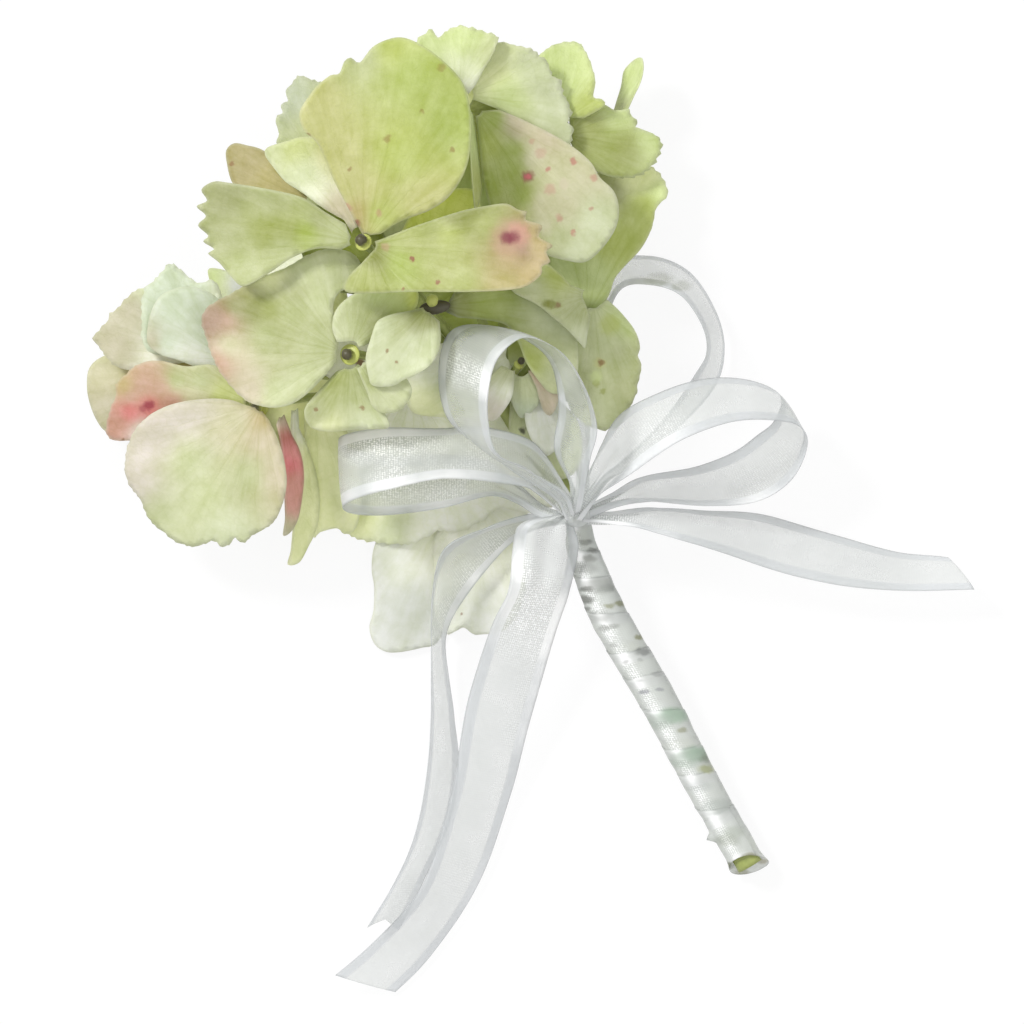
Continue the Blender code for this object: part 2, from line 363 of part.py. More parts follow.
ribbon("bow_loop_back", [
    (9.6, 4.4, 8.4, 4.4, 11.4, 4.0), (9.8, 10.0, 7.4, 10.6, 7.8, 9.0), (10.6, 20.0, 7.6, 21.0, 6.6, 11.0),
    (12.2, 30.0, 9.0, 31.6, 6.6, 11.0), (15.2, 37.4, 13.0, 41.6, 6.8, 12.0),
    (20.4, 38.4, 20.0, 43.2, 7.0, W),
    (25.6, 36.6, 27.0, 40.6, 7.2, W), (29.0, 31.6, 31.4, 34.0, 7.2, W), (29.8, 27.0, 33.0, 27.2, 7.2, W),
    (28.0, 23.4, 31.4, 20.8, 7.0, 12.0), (23.0, 16.0, 24.8, 13.6, 6.6, 9.0),
    (15.8, 8.8, 17.0, 7.2, 7.4, 6.0),
    (12.2, 5.6, 12.8, 4.6, 8.6, 3.6)], per_span=3)
ribbon("ribbon_tail_front", [
    (0.4, -3.8, 7.6, -4.6, 17.4, 8.6), (-2.4, -5.8, 8.2, -6.8, 17.2, 11.8),
    (-3.7, -12.9, 6.7, -13.8, 15.4, W),
    (-6.6, -19.6, 4.0, -21.6, 13.4, W), (-10.5, -31.6, 0.4, -34.0, 9.8, W),
    (-13.3, -46.6, -3.4, -48.0, 6.4, W),
    (-15.8, -57.0, -7.2, -59.6, 5.4, 12.0), (-19.7, -65.6, -11.4, -68.0, 4.8, 11.6),
    (-26.7, -73.6, -17.4, -76.4, 3.8, 11.4), (-33.3, -79.2, -23.1, -82.1, 2.2, 11.2)], per_span=3)
ribbon("ribbon_tail_back", [
    (1.2, -3.0, -0.4, -1.0, 11.0, 4.0), (-4.0, -6.0, -7.0, -2.8, 10.6, 7.0),
    (-10.0, -13.3, -14.6, -6.4, 9.6, 11.0),
    (-13.8, -19.6, -16.6, -14.4, 9.6, W), (-14.6, -25.0, -17.0, -24.0, 8.4, W),
    (-12.9, -35.2, -17.0, -35.0, 6.8, W),
    (-12.4, -44.0, -17.6, -44.6, 6.6, W), (-14.4, -55.0, -19.9, -55.8, 6.4, W),
    (-18.6, -64.0, -23.6, -64.2, 6.3, W),
    (-22.6, -71.6, -27.7, -71.0, 6.2, W)], per_span=3, flip=-1)
ribbon("ribbon_tail_right", [
    (12.6, -2.4, 13.2, -0.8, 15.4, 4.6), (19.2, -3.2, 20.0, 0.2, 14.4, 8.0),
    (27.9, -5.8, 29.0, 0.0, 11.6, 11.0),
    (38.3, -9.2, 40.0, -0.8, 8.0, 12.0), (50.3, -12.4, 52.0, -4.4, 5.6, 12.0),
    (61.0, -13.6, 62.6, -7.0, 4.6, 11.0),
    (75.5, -13.6, 71.2, -8.2, 3.8, 10.0)], per_span=4)

# ---- one grown piece: stem, its branches and the bud in the middle of each floret ----
GREEN = material("stem_green", (0.3, 0.38, 0.14), 0.6)


def tube_mesh(path, radii, sides=8, per_span=3):
    rows = spline([(*point, radius) for point, radius in zip(path, radii)], per_span)
    centres = [Vector(row[:3]) for row in rows]
    bm = bmesh.new()
    rings = []
    side = None
    for i, row in enumerate(rows):
        ahead = centres[min(i + 1, len(rows) - 1)] - centres[max(i - 1, 0)]
        ahead.normalize()
        if side is None:
            side = ahead.orthogonal().normalized()
        side = (side - ahead * side.dot(ahead)).normalized()
        other = ahead.cross(side)
        ring = []
        for k in range(sides):
            angle = 2 * math.pi * k / sides
            point = centres[i] + (side * math.cos(angle) + other * math.sin(angle)) * row[3]
            ring.append(bm.verts.new(point * MM))
        rings.append(ring)
    for low, high in zip(rings, rings[1:]):
        for k in range(sides):
            bm.faces.new((low[k], low[(k + 1) % sides], high[(k + 1) % sides], high[k]))
    return bm, rings


def solid_tube(path, radii, sides=8, per_span=3):
    bm, rings = tube_mesh(path, radii, sides, per_span)
    bm.faces.new(rings[0][::-1])
    bm.faces.new(rings[-1])
    return bm


STEM_PATH = [(36.8, -60.0, 3.6), (29.4, -47.0, 4.4), (21.8, -32.6, 6.0), (13.6, -18.0, 8.2),
             (9.0, -6.0, 10.0), (5.4, 3.6, 10.4), (-0.4, 12.0, 10.4), (-6.0, 20.0, 10.6)]
STEM_RADII = [STEM_RADIUS] * 4 + [1.8, 1.9, 1.9, 1.5]
stem = add_object("flower_stem", solid_tube(STEM_PATH, STEM_RADII, 8, 2), GREEN)
NODE = (-5.0, 18.4, 10.5)


def branch(points):
    """Side branch that leaves the main stem inside it and swells into a floret's bud."""
    path = [NODE] + points
    last = Vector(points[-1])
    ahead = (last - Vector(path[-2])).normalized()
    path += [tuple(last + ahead * 1.0), tuple(last + ahead * 2.0)]
    radii = [1.1] + [0.75] * (len(points) - 1) + [0.8, 1.15, 0.5]
    cutter = add_object("branch", solid_tube(path, radii, 7, 2), GREEN)
    cutter.hide_render = True
    cutter.display_type = "WIRE"
    union = stem.modifiers.new("union", "BOOLEAN")
    union.operation = "UNION"
    union.solver = "EXACT"
    union.object = cutter


branch([(-15.0, 31.0, 15.0), (-25.0, 42.0, 24.0), (-28.4, 45.4, 33.8)])
branch([(-18.0, 23.0, 14.6), (-28.0, 26.2, 21.0), (-30.7, 26.4, 27.8)])
branch([(-13.0, 26.6, 12.4), (-17.6, 32.0, 18.6), (-16.8, 35.2, 26.8)])
branch([(-22.0, 20.4, 14.4), (-36.0, 19.4, 15.6), (-45.0, 18.0, 18.0), (-46.2, 17.6, 20.8)])
branch([(-22.0, 21.8, 9.6), (-34.0, 22.8, 10.4), (-46.0, 24.6, 11.2), (-51.8, 25.6, 13.0)])
branch([(-21.0, 39.0, 11.4), (-30.0, 49.0, 11.8), (-36.6, 55.2, 17.0), (-36.3, 55.0, 23.6)])
branch([(-10.0, 40.0, 14.0), (-12.6, 56.0, 15.2), (-13.8, 68.6, 21.4)])
branch([(-4.0, 42.0, 11.4), (0.4, 56.0, 11.6), (5.0, 64.4, 14.8)])
branch([(0.0, 24.6, 11.6), (5.0, 31.0, 13.4), (9.0, 34.5, 15.4)])
branch([(-4.0, 21.6, 12.4), (-2.0, 24.8, 16.6)])

# ---- ribbon wound round the handle: a sleeve open at both ends ----
WRAP_PATH = [(37.0, -60.4, 3.62), (35.6, -57.8, 3.72), (29.4, -47.0, 4.4), (21.8, -32.6, 6.0),
             (13.6, -18.0, 8.2), (9.6, -7.6, 9.76), (8.4, -4.4, 10.1)]
WRAP_RADII = [3.6, 2.95, 3.0, 3.2, 3.3, 3.1, 2.9]


def sleeve(name, path, radii, wall, mat, sides=10, per_span=3):
    bm, skin = tube_mesh(path, radii, sides, per_span)
    lining_bm, lining_rings = tube_mesh(path, [r - wall for r in radii], sides, per_span)
    lining = [[bm.verts.new(v.co) for v in ring] for ring in lining_rings]
    lining_bm.free()
    for low, high in zip(lining, lining[1:]):
        for k in range(sides):
            bm.faces.new((high[k], high[(k + 1) % sides], low[(k + 1) % sides], low[k]))
    for outside, inside in ((skin[0], lining[0]), (skin[-1], lining[-1])):
        for k in range(sides):
            n = (k + 1) % sides
            bm.faces.new((outside[k], inside[k], inside[n], outside[n]))
    return add_object(name, bm, mat)


sleeve("stem_wrap", WRAP_PATH, WRAP_RADII, WRAP_WALL, ORGANZA)

# ---- wire binding the neck, and the knot of the bow ----
WIRE = material("binding_wire", (0.12, 0.13, 0.1), 0.5)
coil = []
for step in range(21):
    t = step / 20
    centre = Vector((11.5, -12.7, 9.0)).lerp(Vector((9.7, -7.8, 9.73)), t)
    ahead = Vector((-2.0, 6.0, 0.87)).normalized()
    east = ahead.cross(Vector((0, 0, 1))).normalized()
    top = east.cross(ahead)
    turn = 2 * math.pi * 2.0 * t + 0.6
    coil.append(tuple(centre + east * (2.36 * math.cos(turn)) + top * (2.36 * math.sin(turn))))
add_object("binding_wire", solid_tube(coil, [0.2] * len(coil), 5, 1), WIRE)

knot = bmesh.new()
bmesh.ops.create_uvsphere(knot, u_segments=12, v_segments=8, radius=MM)
for vert in knot.verts:
    vert.co = Vector((vert.co.x * 3.0 + 7.6 * MM, vert.co.y * 2.3 - 1.0 * MM, vert.co.z * 3.6 + 17.4 * MM))
add_object("bow_knot", knot, ORGANZA)

# ---- every piece is built round the middle of the lay-out; this puts the origin under its middle ----
ORIGIN_SHIFT = Vector((0.11, 0.09, 0.21)) * MM
for piece in bpy.data.objects:
    piece.location = ORIGIN_SHIFT
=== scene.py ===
"""Hydrangea corsage: florets on a branching stem, a handle wound in sheer ribbon, and a bow of the same ribbon."""
import math

import bmesh
import bpy
import numpy as np
from mathutils import Matrix, Vector, noise
from mathutils.geometry import delaunay_2d_cdt


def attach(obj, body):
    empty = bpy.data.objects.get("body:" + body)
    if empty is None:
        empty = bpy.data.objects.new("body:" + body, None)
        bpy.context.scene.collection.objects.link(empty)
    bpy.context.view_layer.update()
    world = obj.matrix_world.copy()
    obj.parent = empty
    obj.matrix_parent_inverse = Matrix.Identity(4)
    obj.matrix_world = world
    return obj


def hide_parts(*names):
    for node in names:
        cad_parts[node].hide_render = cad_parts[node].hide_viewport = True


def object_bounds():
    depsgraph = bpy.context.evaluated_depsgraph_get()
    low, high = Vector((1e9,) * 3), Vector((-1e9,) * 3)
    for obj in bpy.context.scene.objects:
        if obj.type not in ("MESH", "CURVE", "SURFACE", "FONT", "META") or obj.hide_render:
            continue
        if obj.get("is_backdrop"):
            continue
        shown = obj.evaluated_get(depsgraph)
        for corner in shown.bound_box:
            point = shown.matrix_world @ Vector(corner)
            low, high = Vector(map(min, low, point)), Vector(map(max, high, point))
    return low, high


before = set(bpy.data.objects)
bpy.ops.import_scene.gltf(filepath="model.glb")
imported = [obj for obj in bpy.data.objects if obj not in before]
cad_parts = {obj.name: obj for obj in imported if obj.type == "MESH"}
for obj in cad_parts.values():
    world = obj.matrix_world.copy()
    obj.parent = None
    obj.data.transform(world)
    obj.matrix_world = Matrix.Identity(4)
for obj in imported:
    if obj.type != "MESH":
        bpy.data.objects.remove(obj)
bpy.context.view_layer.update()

# ---- the view: straight down on the corsage, from far away through a long lens ----
# From so far off the florets that stand high look hardly bigger than those that lie low.
MM = 0.001
VIEW_HEIGHT = 4.85
view_data = bpy.data.cameras.new("overhead")
view_data.lens = 1000
view_data.sensor_width = 36
view_data.clip_start = 0.5
view_data.clip_end = 30
overhead = bpy.data.objects.new("overhead", view_data)
bpy.context.scene.collection.objects.link(overhead)
overhead.location = (-3.09 * MM, -0.21 * MM, VIEW_HEIGHT)
bpy.context.scene.camera = overhead

# ---- the table: a plain white sheet with two soft lamps over it, the main one at the upper left ----
# Seen directly it is as white as the room, and it still catches a faint shadow.
TABLE_SIZE = 4.0
TABLE_GAP = 0.0003
SHADOWLESS = 0.9


def add(tree, kind, inputs=None, **settings):
    """A node with its sockets filled: a socket is linked, anything else is set."""
    made = tree.nodes.new(kind)
    for key, value in settings.items():
        setattr(made, key, value)
    for key, value in (inputs or {}).items():
        if isinstance(value, bpy.types.NodeSocket):
            tree.links.new(value, made.inputs[key])
        else:
            made.inputs[key].default_value = value
    return made


def reckon(tree, operation, *values, **settings):
    """One step of arithmetic on a shader value."""
    return add(tree, "ShaderNodeMath", dict(enumerate(values)), operation=operation, **settings).outputs[0]


def joined(tree, share, one, two):
    """Two shaders mixed: all of the second where share is 1."""
    return add(tree, "ShaderNodeMixShader", {0: share, 1: one.outputs[0], 2: two.outputs[0]})


def blank(name):
    """A new material with an empty node tree, and its output node."""
    finish = bpy.data.materials.new(name)
    finish.use_nodes = True
    finish.node_tree.nodes.clear()
    return finish, finish.node_tree, finish.node_tree.nodes.new("ShaderNodeOutputMaterial")


sheet = bmesh.new()
bmesh.ops.create_grid(sheet, x_segments=2, y_segments=2, size=TABLE_SIZE)
bmesh.ops.translate(sheet, verts=sheet.verts, vec=(0, 0, -TABLE_GAP))
table_mesh = bpy.data.meshes.new("table")
sheet.to_mesh(table_mesh)
sheet.free()
table = bpy.data.objects.new("table", table_mesh)
bpy.context.scene.collection.objects.link(table)
table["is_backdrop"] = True
white, tree, out = blank("table_white")
rays = add(tree, "ShaderNodeLightPath").outputs
seen = reckon(tree, "MAXIMUM", rays["Is Camera Ray"], rays["Is Glossy Ray"])
seen = reckon(tree, "MAXIMUM", seen, rays["Is Transmission Ray"])
matt = add(tree, "ShaderNodeBsdfDiffuse", {"Color": (0.8, 0.8, 0.8, 1)})
glow = add(tree, "ShaderNodeEmission", {"Color": (1, 1, 1, 1), "Strength": 1.0})
both = joined(tree, reckon(tree, "MULTIPLY", seen, SHADOWLESS), matt, glow)
tree.links.new(both.outputs[0], out.inputs["Surface"])
table.data.materials.append(white)

room = bpy.data.worlds.new("room")
bpy.context.scene.world = room
room.use_nodes = True
tree = room.node_tree
tree.nodes.clear()
out = tree.nodes.new("ShaderNodeOutputWorld")
rays = add(tree, "ShaderNodeLightPath").outputs
seen = reckon(tree, "MAXIMUM", rays["Is Camera Ray"], rays["Is Transmission Ray"])
soft = add(tree, "ShaderNodeBackground", {"Color": (1, 1, 1, 1), "Strength": 0.84})
bright = add(tree, "ShaderNodeBackground", {"Color": (1, 1, 1, 1), "Strength": 1.0})
both = joined(tree, seen, soft, bright)
tree.links.new(both.outputs[0], out.inputs["Surface"])

for name, place, width, power in (("window", (-0.75, 0.62, 1.05), 0.3, 15.5), ("ceiling", (0.5, -0.2, 1.5), 1.2, 4.0)):
    lamp = bpy.data.lights.new(name, "AREA")
    lamp.shape = "DISK"
    lamp.size = width
    lamp.energy = power
    holder = bpy.data.objects.new(name, lamp)
    bpy.context.scene.collection.objects.link(holder)
    holder.location = place
    holder.rotation_mode = "QUATERNION"
    holder.rotation_quaternion = (-Vector(place)).to_track_quat("-Z", "Y")

# ---- floret a: the topmost floret, four fleshy sepals that spread from one stalk ----
# A sepal is one thin living blade. It grows from a narrow claw, its veins fan out from there, and its
# edge is cut into blunt teeth where it is not smooth. Colour runs from lime to tan and rose with age.
ORIGIN_SHIFT = Vector((0.11, 0.09, 0.21))
CLAW = 1.1
CLAW_ANGLES = (38, 20, 0, -20, -38)
EDGE_STEP = 0.55
FLESH_STEP = 0.95
SEPAL_WALL = 0.22
TOOTH_PITCH = 1.8
RIM_WIDTH = 2.6
VEIN_FAN = 12.0
BLOTCH_EDGE = 1.25
BLOTCH_CORE = 0.45

LIME = (195, 205, 115)
SUN_LIME = (201, 208, 134)
PALE_LIME = (214, 225, 164)
TAN_LIME = (206, 205, 142)
PEACH = (203, 184, 132)
HONEY = (196, 184, 124)
SAGE = (184, 189, 138)
MEADOW = (194, 200, 150)
MILK = (213, 218, 178)
IVORY = (221, 226, 194)
CREAM = (216, 212, 182)
BLUSH = (218, 207, 186)
ROSE = (204, 168, 146)
SALMON = (232, 172, 164)
BRICK = (199, 150, 132)
HOT_PINK = (244, 126, 142)
MINT = (214, 222, 204)
FROST = (236, 237, 232)
OLIVE = (168, 176, 96)
DEEP_OLIVE = (146, 152, 72)
WINE = (150, 52, 70)
PLUM = (140, 58, 78)
RASPBERRY = (214, 118, 116)
LEAF_LIME = (180, 194, 100)
WAX_LIME = (188, 194, 124)
# paler than any sepal: painted light, laid on sepals that lie in shade
CHALK_LIME = (246, 248, 206)
FERN = (168, 172, 120)
MOSS = (160, 172, 62)
STRAW = (174, 162, 106)
OAT = (196, 190, 164)
PEARL = (222, 214, 206)
SHELL = (250, 182, 186)
ASH_ROSE = (170, 138, 118)
ASH_MINT = (194, 200, 178)
ASH_WHITE = (212, 214, 210)
LILAC_GREY = (206, 206, 214)
# near black: painted shade for the hollows between the claws
SHADE_BLACK = (34, 34, 16)
# the next two are painted light on sepals that lie in shade; the snow white is also the bleached sepals' own white,
# made whiter
PAINTED_LIGHT_LIME = (240, 246, 136)
SNOW = (253, 253, 246)
RUST = (140, 92, 48)

def paint(colour):
    """Red, green and blue out of 255, as a linear colour."""
    linear = [c / 255 / 12.92 if c <= 10 else ((c / 255 + 0.055) / 1.055) ** 2.4 for c in colour]
    return (*linear, 1.0)


def vectors(tree, operation, first, second):
    """One step of arithmetic on a place or a colour."""
    return add(tree, "ShaderNodeVectorMath", {0: first, 1: second}, operation=operation).outputs[0]


def clouds(tree, where, scale, detail=3, roughness=0.5):
    """Soft noise, of which more detail makes a finer grain."""
    inputs = {"Vector": where, "Scale": scale, "Detail": detail, "Roughness": roughness}
    return add(tree, "ShaderNodeTexNoise", inputs).outputs


def ramp(tree, value, low, high, to_low=0.0, to_high=1.0, kind="LINEAR"):
    """A value carried from one range to another, and held at the ends."""
    inputs = {"Value": value, "From Min": low, "From Max": high, "To Min": to_low, "To Max": to_high}
    return add(tree, "ShaderNodeMapRange", inputs, interpolation_type=kind).outputs[0]


def blend(tree, share, one, two, kind="MIX"):
    """Two colours mixed: all of the second where share is 1."""
    return add(tree, "ShaderNodeMix", {0: share, 6: one, 7: two}, data_type="RGBA", blend_type=kind).outputs[2]


def rounded(points, step):
    """Catmull-Rom curve through flat or solid points, about one point to a step."""
    rows = [Vector(p) for p in points]
    rows = [rows[0] * 2 - rows[1]] + rows + [rows[-1] * 2 - rows[-2]]
    curve = []
    for a, b, c, d in zip(rows, rows[1:], rows[2:], rows[3:]):
        count = max(1, round((c - b).length / step))
        for k in range(count):
            t = k / count
            curve.append(0.5 * (2 * b + (c - a) * t + (2 * a - 5 * b + 4 * c - d) * t * t
                                + (3 * b - a - 3 * c + d) * t ** 3))
    curve.append(rows[-2])
    return curve


def flesh(edge, step):
    """Evenly spread spots inside a closed outline, and how far each is from the edge."""
    ring = np.array(edge)
    after = np.roll(ring, -1, axis=0)
    low, high = ring.min(0), ring.max(0)
    spots = np.array([(x, y + (i % 2) * step / 2) for i, x in enumerate(np.arange(low[0], high[0], step * 0.87))
                      for y in np.arange(low[1] - step, high[1], step)])[:, None]
    run = after - ring
    crossed = (ring[:, 1] > spots[..., 1]) != (after[:, 1] > spots[..., 1])
    rise = np.where(np.abs(run[:, 1]) < 1e-9, 1e-9, run[:, 1])
    hit = spots[..., 0] < ring[:, 0] + (spots[..., 1] - ring[:, 1]) * run[:, 0] / rise
    inside = (crossed & hit).sum(1) % 2 == 1
    share = np.clip(((spots - ring) * run).sum(2) / (run ** 2).sum(1), 0, 1)
    gap = np.linalg.norm(spots - ring - run * share[..., None], axis=2).min(1)
    keep = inside & (gap > 0.55 * step)
    return spots[keep, 0], gap[keep]


def blotched(tree, colour, place, blotches, grain, push, narrow=1.0):
    """Mixes small blotches with ragged soft edges into a colour: x, y, size, tone and strength of each."""
    ragged = vectors(tree, "SUBTRACT", clouds(tree, place, grain)["Color"], (0.5, 0.5, 0.5))
    ragged = vectors(tree, "MULTIPLY", ragged, (push, push, push))
    ground = vectors(tree, "MULTIPLY", vectors(tree, "ADD", place, ragged), (narrow, 1, 0))
    for x, y, size, tone, strength in blotches:
        centre = ((x + ORIGIN_SHIFT.x) * MM * narrow, (y + ORIGIN_SHIFT.y) * MM, 0)
        away = add(tree, "ShaderNodeVectorMath", {0: ground, 1: centre}, operation="DISTANCE").outputs["Value"]
        mask = ramp(tree, away, size * BLOTCH_EDGE * MM, size * BLOTCH_CORE * MM, 0.0, strength, "SMOOTHSTEP")
        colour = blend(tree, mask, colour, paint(tone))
    return colour


def petal_finish(name, freckles, vein):
    """Matt living skin: painted tint, mottling, a fan of veins with a fine net between them, and blotches."""
    finish, tree, out = blank(name)
    place = add(tree, "ShaderNodeTexCoord").outputs["Object"]
    tint = add(tree, "ShaderNodeAttribute", attribute_name="tint").outputs["Color"]
    blade = add(tree, "ShaderNodeAttribute", attribute_name="blade").outputs["Vector"]
    part = add(tree, "ShaderNodeSeparateXYZ", {0: blade}).outputs
    cloud = clouds(tree, place, 260, 4, 0.6)["Fac"]
    grain = clouds(tree, place, 2600, 3, 0.6)["Fac"]
    streak = clouds(tree, vectors(tree, "MULTIPLY", blade, (8.0, 1.5, 0.0)), 1.0, 4, 0.6)["Fac"]
    # the ribs: a fan that wanders a little and fades towards the edge
    fan = reckon(tree, "MULTIPLY_ADD", part["X"], VEIN_FAN, reckon(tree, "MULTIPLY", cloud, 2.2))
    fold = reckon(tree, "ABSOLUTE", reckon(tree, "SINE", fan))
    rib = ramp(tree, fold, 0.0, 0.2, 1.0, 0.0, "SMOOTHSTEP")
    rib = reckon(tree, "MULTIPLY", rib, ramp(tree, part["Y"], 0.05, 0.95, 1.0, 0.1))
    # the fine net between them
    spread = vectors(tree, "ADD", place, vectors(tree, "MULTIPLY", streak, (0.0016, 0.0016, 0.0)))
    net = add(tree, "ShaderNodeTexVoronoi", {"Vector": spread, "Scale": 620}, feature="DISTANCE_TO_EDGE")
    net = ramp(tree, net.outputs["Distance"], 0.0, 0.16, 0.3, 0.0, "SMOOTHSTEP")
    veins = reckon(tree, "MAXIMUM", rib, net)
    mottle = ramp(tree, reckon(tree, "ADD", cloud, streak), 0.75, 1.25)
    deep = blend(tree, 1.0, tint, (0.86, 0.88, 0.76, 1), "MULTIPLY")
    pale = blend(tree, 0.12, tint, (1, 0.99, 0.92, 1))
    colour = blend(tree, mottle, pale, deep)
    colour = blend(tree, reckon(tree, "MULTIPLY", veins, vein), colour, (0.78, 0.82, 0.54, 1), "MULTIPLY")
    colour = blend(tree, ramp(tree, part["Z"], 0.0, 0.5, 0.3, 0.0), colour, paint((232, 234, 208)))
    if freckles:
        colour = blotched(tree, colour, place, freckles, 900, 0.0012)
    height = reckon(tree, "MULTIPLY_ADD", veins, -0.7, grain)
    bump = add(tree, "ShaderNodeBump", {"Strength": 0.3, "Distance": 0.00022, "Height": height}).outputs[0]
    rough = ramp(tree, grain, 0.3, 0.7, 0.42, 0.6)
    skin = add(tree, "ShaderNodeBsdfPrincipled", {"Base Color": colour, "Roughness": rough, "Specular IOR Level": 0.35,
                                                  "Normal": bump})
    glow = add(tree, "ShaderNodeBsdfTranslucent", {"Color": colour, "Normal": bump})
    tree.links.new(joined(tree, 0.35, skin, glow).outputs[0], out.inputs["Surface"])
    return finish


def finished(shape, name, finish, recalculate=True, **laid):
    """The object made from a bmesh, with its faces turned outwards and what is laid on its vertices."""
    if recalculate:
        bmesh.ops.recalc_face_normals(shape, faces=shape.faces)
    mesh = bpy.data.meshes.new(name)
    shape.to_mesh(mesh)
    shape.free()
    for label, values in laid.items():
        field, kind = ("color", "FLOAT_COLOR") if label == "tint" else ("vector", "FLOAT_VECTOR")
        mesh.attributes.new(label, kind, "POINT").data.foreach_set(field, np.array(values, np.float32).ravel())
    mesh.shade_smooth()
    mesh.materials.append(finish)
    piece = bpy.data.objects.new(name, mesh)
    bpy.context.scene.collection.objects.link(piece)
    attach(piece, "root")
    return piece


def thicken(piece, thickness):
    """Gives an open blade or cloth its wall, half to each side."""
    wall = piece.modifiers.new("wall", "SOLIDIFY")
    wall.thickness = thickness * MM
    wall.offset = 0.0


def petal(floret, number, base, tip, outline, tones, roll=0, cup=0.6, arch=1.0, ripple=0.3, waves=8,
          curl=0.35, teeth=0.0, soften=3.0, freckles=(), vein=0.4):
    """One sepal. Outline is its edge as seen from above, and tones are (x, y, colour) touches that blend; some are
    painted shade or painted light.
    """
    base = Vector(base)
    axis = Vector(tip) - base
    length = axis.length
    forward = axis / length
    flat_side = Vector((0, 0, 1)).cross(forward).normalized()
    side = Matrix.Rotation(math.radians(-roll), 3, forward) @ flat_side
    up = forward.cross(side)
    det = forward.x * side.y - forward.y * side.x
    edge = []
    for x, y in outline:
        dx = x - base.x
        dy = y - base.y
        edge.append(Vector(((dx * side.y - dy * side.x) / det, (forward.x * dy - forward.y * dx) / det)))
    half = max(abs(point.y) for point in edge)
    turn = 1 if edge[0].y < edge[-1].y else -1
    edge = rounded(edge, EDGE_STEP)
    runs = 0.0
    for i in range(1, len(edge)):
        runs += (edge[i] - edge[i - 1]).length
        bite = (runs / TOOTH_PITCH + noise.noise(Vector((runs * 0.3, number, 0)))) % 1.0
        outwards = min(1.0, max(0.0, edge[i].length / length * 3 - 1.5))
        edge[i] = edge[i] + edge[i].normalized() * teeth * (0.5 - bite) * outwards
    for angle in CLAW_ANGLES:
        edge.append(Vector((CLAW * math.cos(math.radians(angle)), CLAW * math.sin(math.radians(angle * turn)))))
    inner, gaps = flesh([tuple(p) for p in edge], FLESH_STEP)
    spots = [p.copy() for p in edge] + [Vector(p) for p in inner]
    spots, _, faces, _, _, _ = delaunay_2d_cdt(spots, [], [list(range(len(edge)))], 1, 1e-6)
    gaps = [0.0] * len(edge) + list(gaps) + [0.0] * (len(spots) - len(edge) - len(gaps))
    key = sum(map(ord, floret)) * 1.7 + number * 2.3
    touches = np.array([(x, y) for x, y, _ in tones], float)
    colours = np.array([paint(tone) for _, _, tone in tones])
    blade = bmesh.new()
    tints, fans = [], []
    for spot, gap in zip(spots, gaps):
        along = spot.x / length
        out = min(1.2, spot.length / length)
        fan = math.atan2(spot.y, spot.x)
        lift = 4 * arch * along * (1 - along) + cup * (spot.y / half) ** 2 * min(1.0, along * 1.6)
        lift += ripple * out ** 1.6 * math.sin(waves * fan + key)
        lift += 0.55 * noise.noise(Vector((spot.x * 0.11, spot.y * 0.11, key))) * min(1.0, out * 2)
        lift += curl * max(0.0, 1 - gap / RIM_WIDTH) ** 2 * max(0.0, out - 0.25)
        point = base + forward * spot.x + side * spot.y + up * lift
        blade.verts.new((point + ORIGIN_SHIFT) * MM)
        near = 1 / (((touches - (point.x, point.y)) ** 2).sum(1) + soften) ** 1.6
        tints.append((near[:, None] * colours).sum(0) / near.sum())
        fans.append((fan, min(1.0, spot.length / length), gap))
    blade.verts.ensure_lookup_table()
    for face in faces:
        blade.faces.new([blade.verts[i] for i in face])
    name = f"petal_{floret}{number}"
    piece = finished(blade, name, petal_finish(name, freckles, vein), tint=tints, blade=fans)
    thicken(piece, SEPAL_WALL)
    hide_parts(f"floret_{floret}_sepal_{number}")


petal("a", 1, (-28.0, 45.8, 36.4), (-23.6, 80.0, 38.5),
      [(-30.6, 50.5), (-33.5, 56), (-36.2, 62), (-38.6, 64.5), (-39.3, 67.5), (-37.5, 70.5), (-36, 72.2), (-34,
       73.7), (-32.5, 74), (-31.6, 76), (-30.5, 76.6), (-29, 75.8), (-26.5, 78.6), (-22.5, 80), (-19, 79),
       (-15.5, 76.6), (-12, 73), (-10.6, 69), (-10.3, 64), (-11, 58.5), (-13.5, 53.8), (-17, 51), (-22, 49),
       (-25.5, 46.8)],
      [(-28, 77, MEADOW), (-37, 69, TAN_LIME), (-34, 60, TAN_LIME), (-31, 54, TAN_LIME), (-20, 74, LEAF_LIME),
       (-13, 66, LEAF_LIME), (-22, 60, LIME), (-18, 52, TAN_LIME), (-26, 50, LIME), (-29.6, 50, PEACH), (-24,
       78, LIME)],
      roll=-4, cup=1.0, arch=2.4, ripple=0.35, waves=9, freckles=((-24.3, 62.9, 0.75, RUST,
       0.45), (-13.4, 60.9, 0.45, RUST, 0.5), (-30.6, 57.5, 0.45, RUST, 0.5), (-37.6, 63.4, 0.45, RUST, 0.5),
       (-15.1, 74.8, 0.8, RUST, 0.35), (-31.2, 51.2, 0.9, BRICK, 0.6), (-29.6, 48.6, 0.8, WINE, 0.6), (-25.6,
       50.2, 0.7, BRICK, 0.5), (-18.4, 67.5, 0.35, RUST, 0.4)))
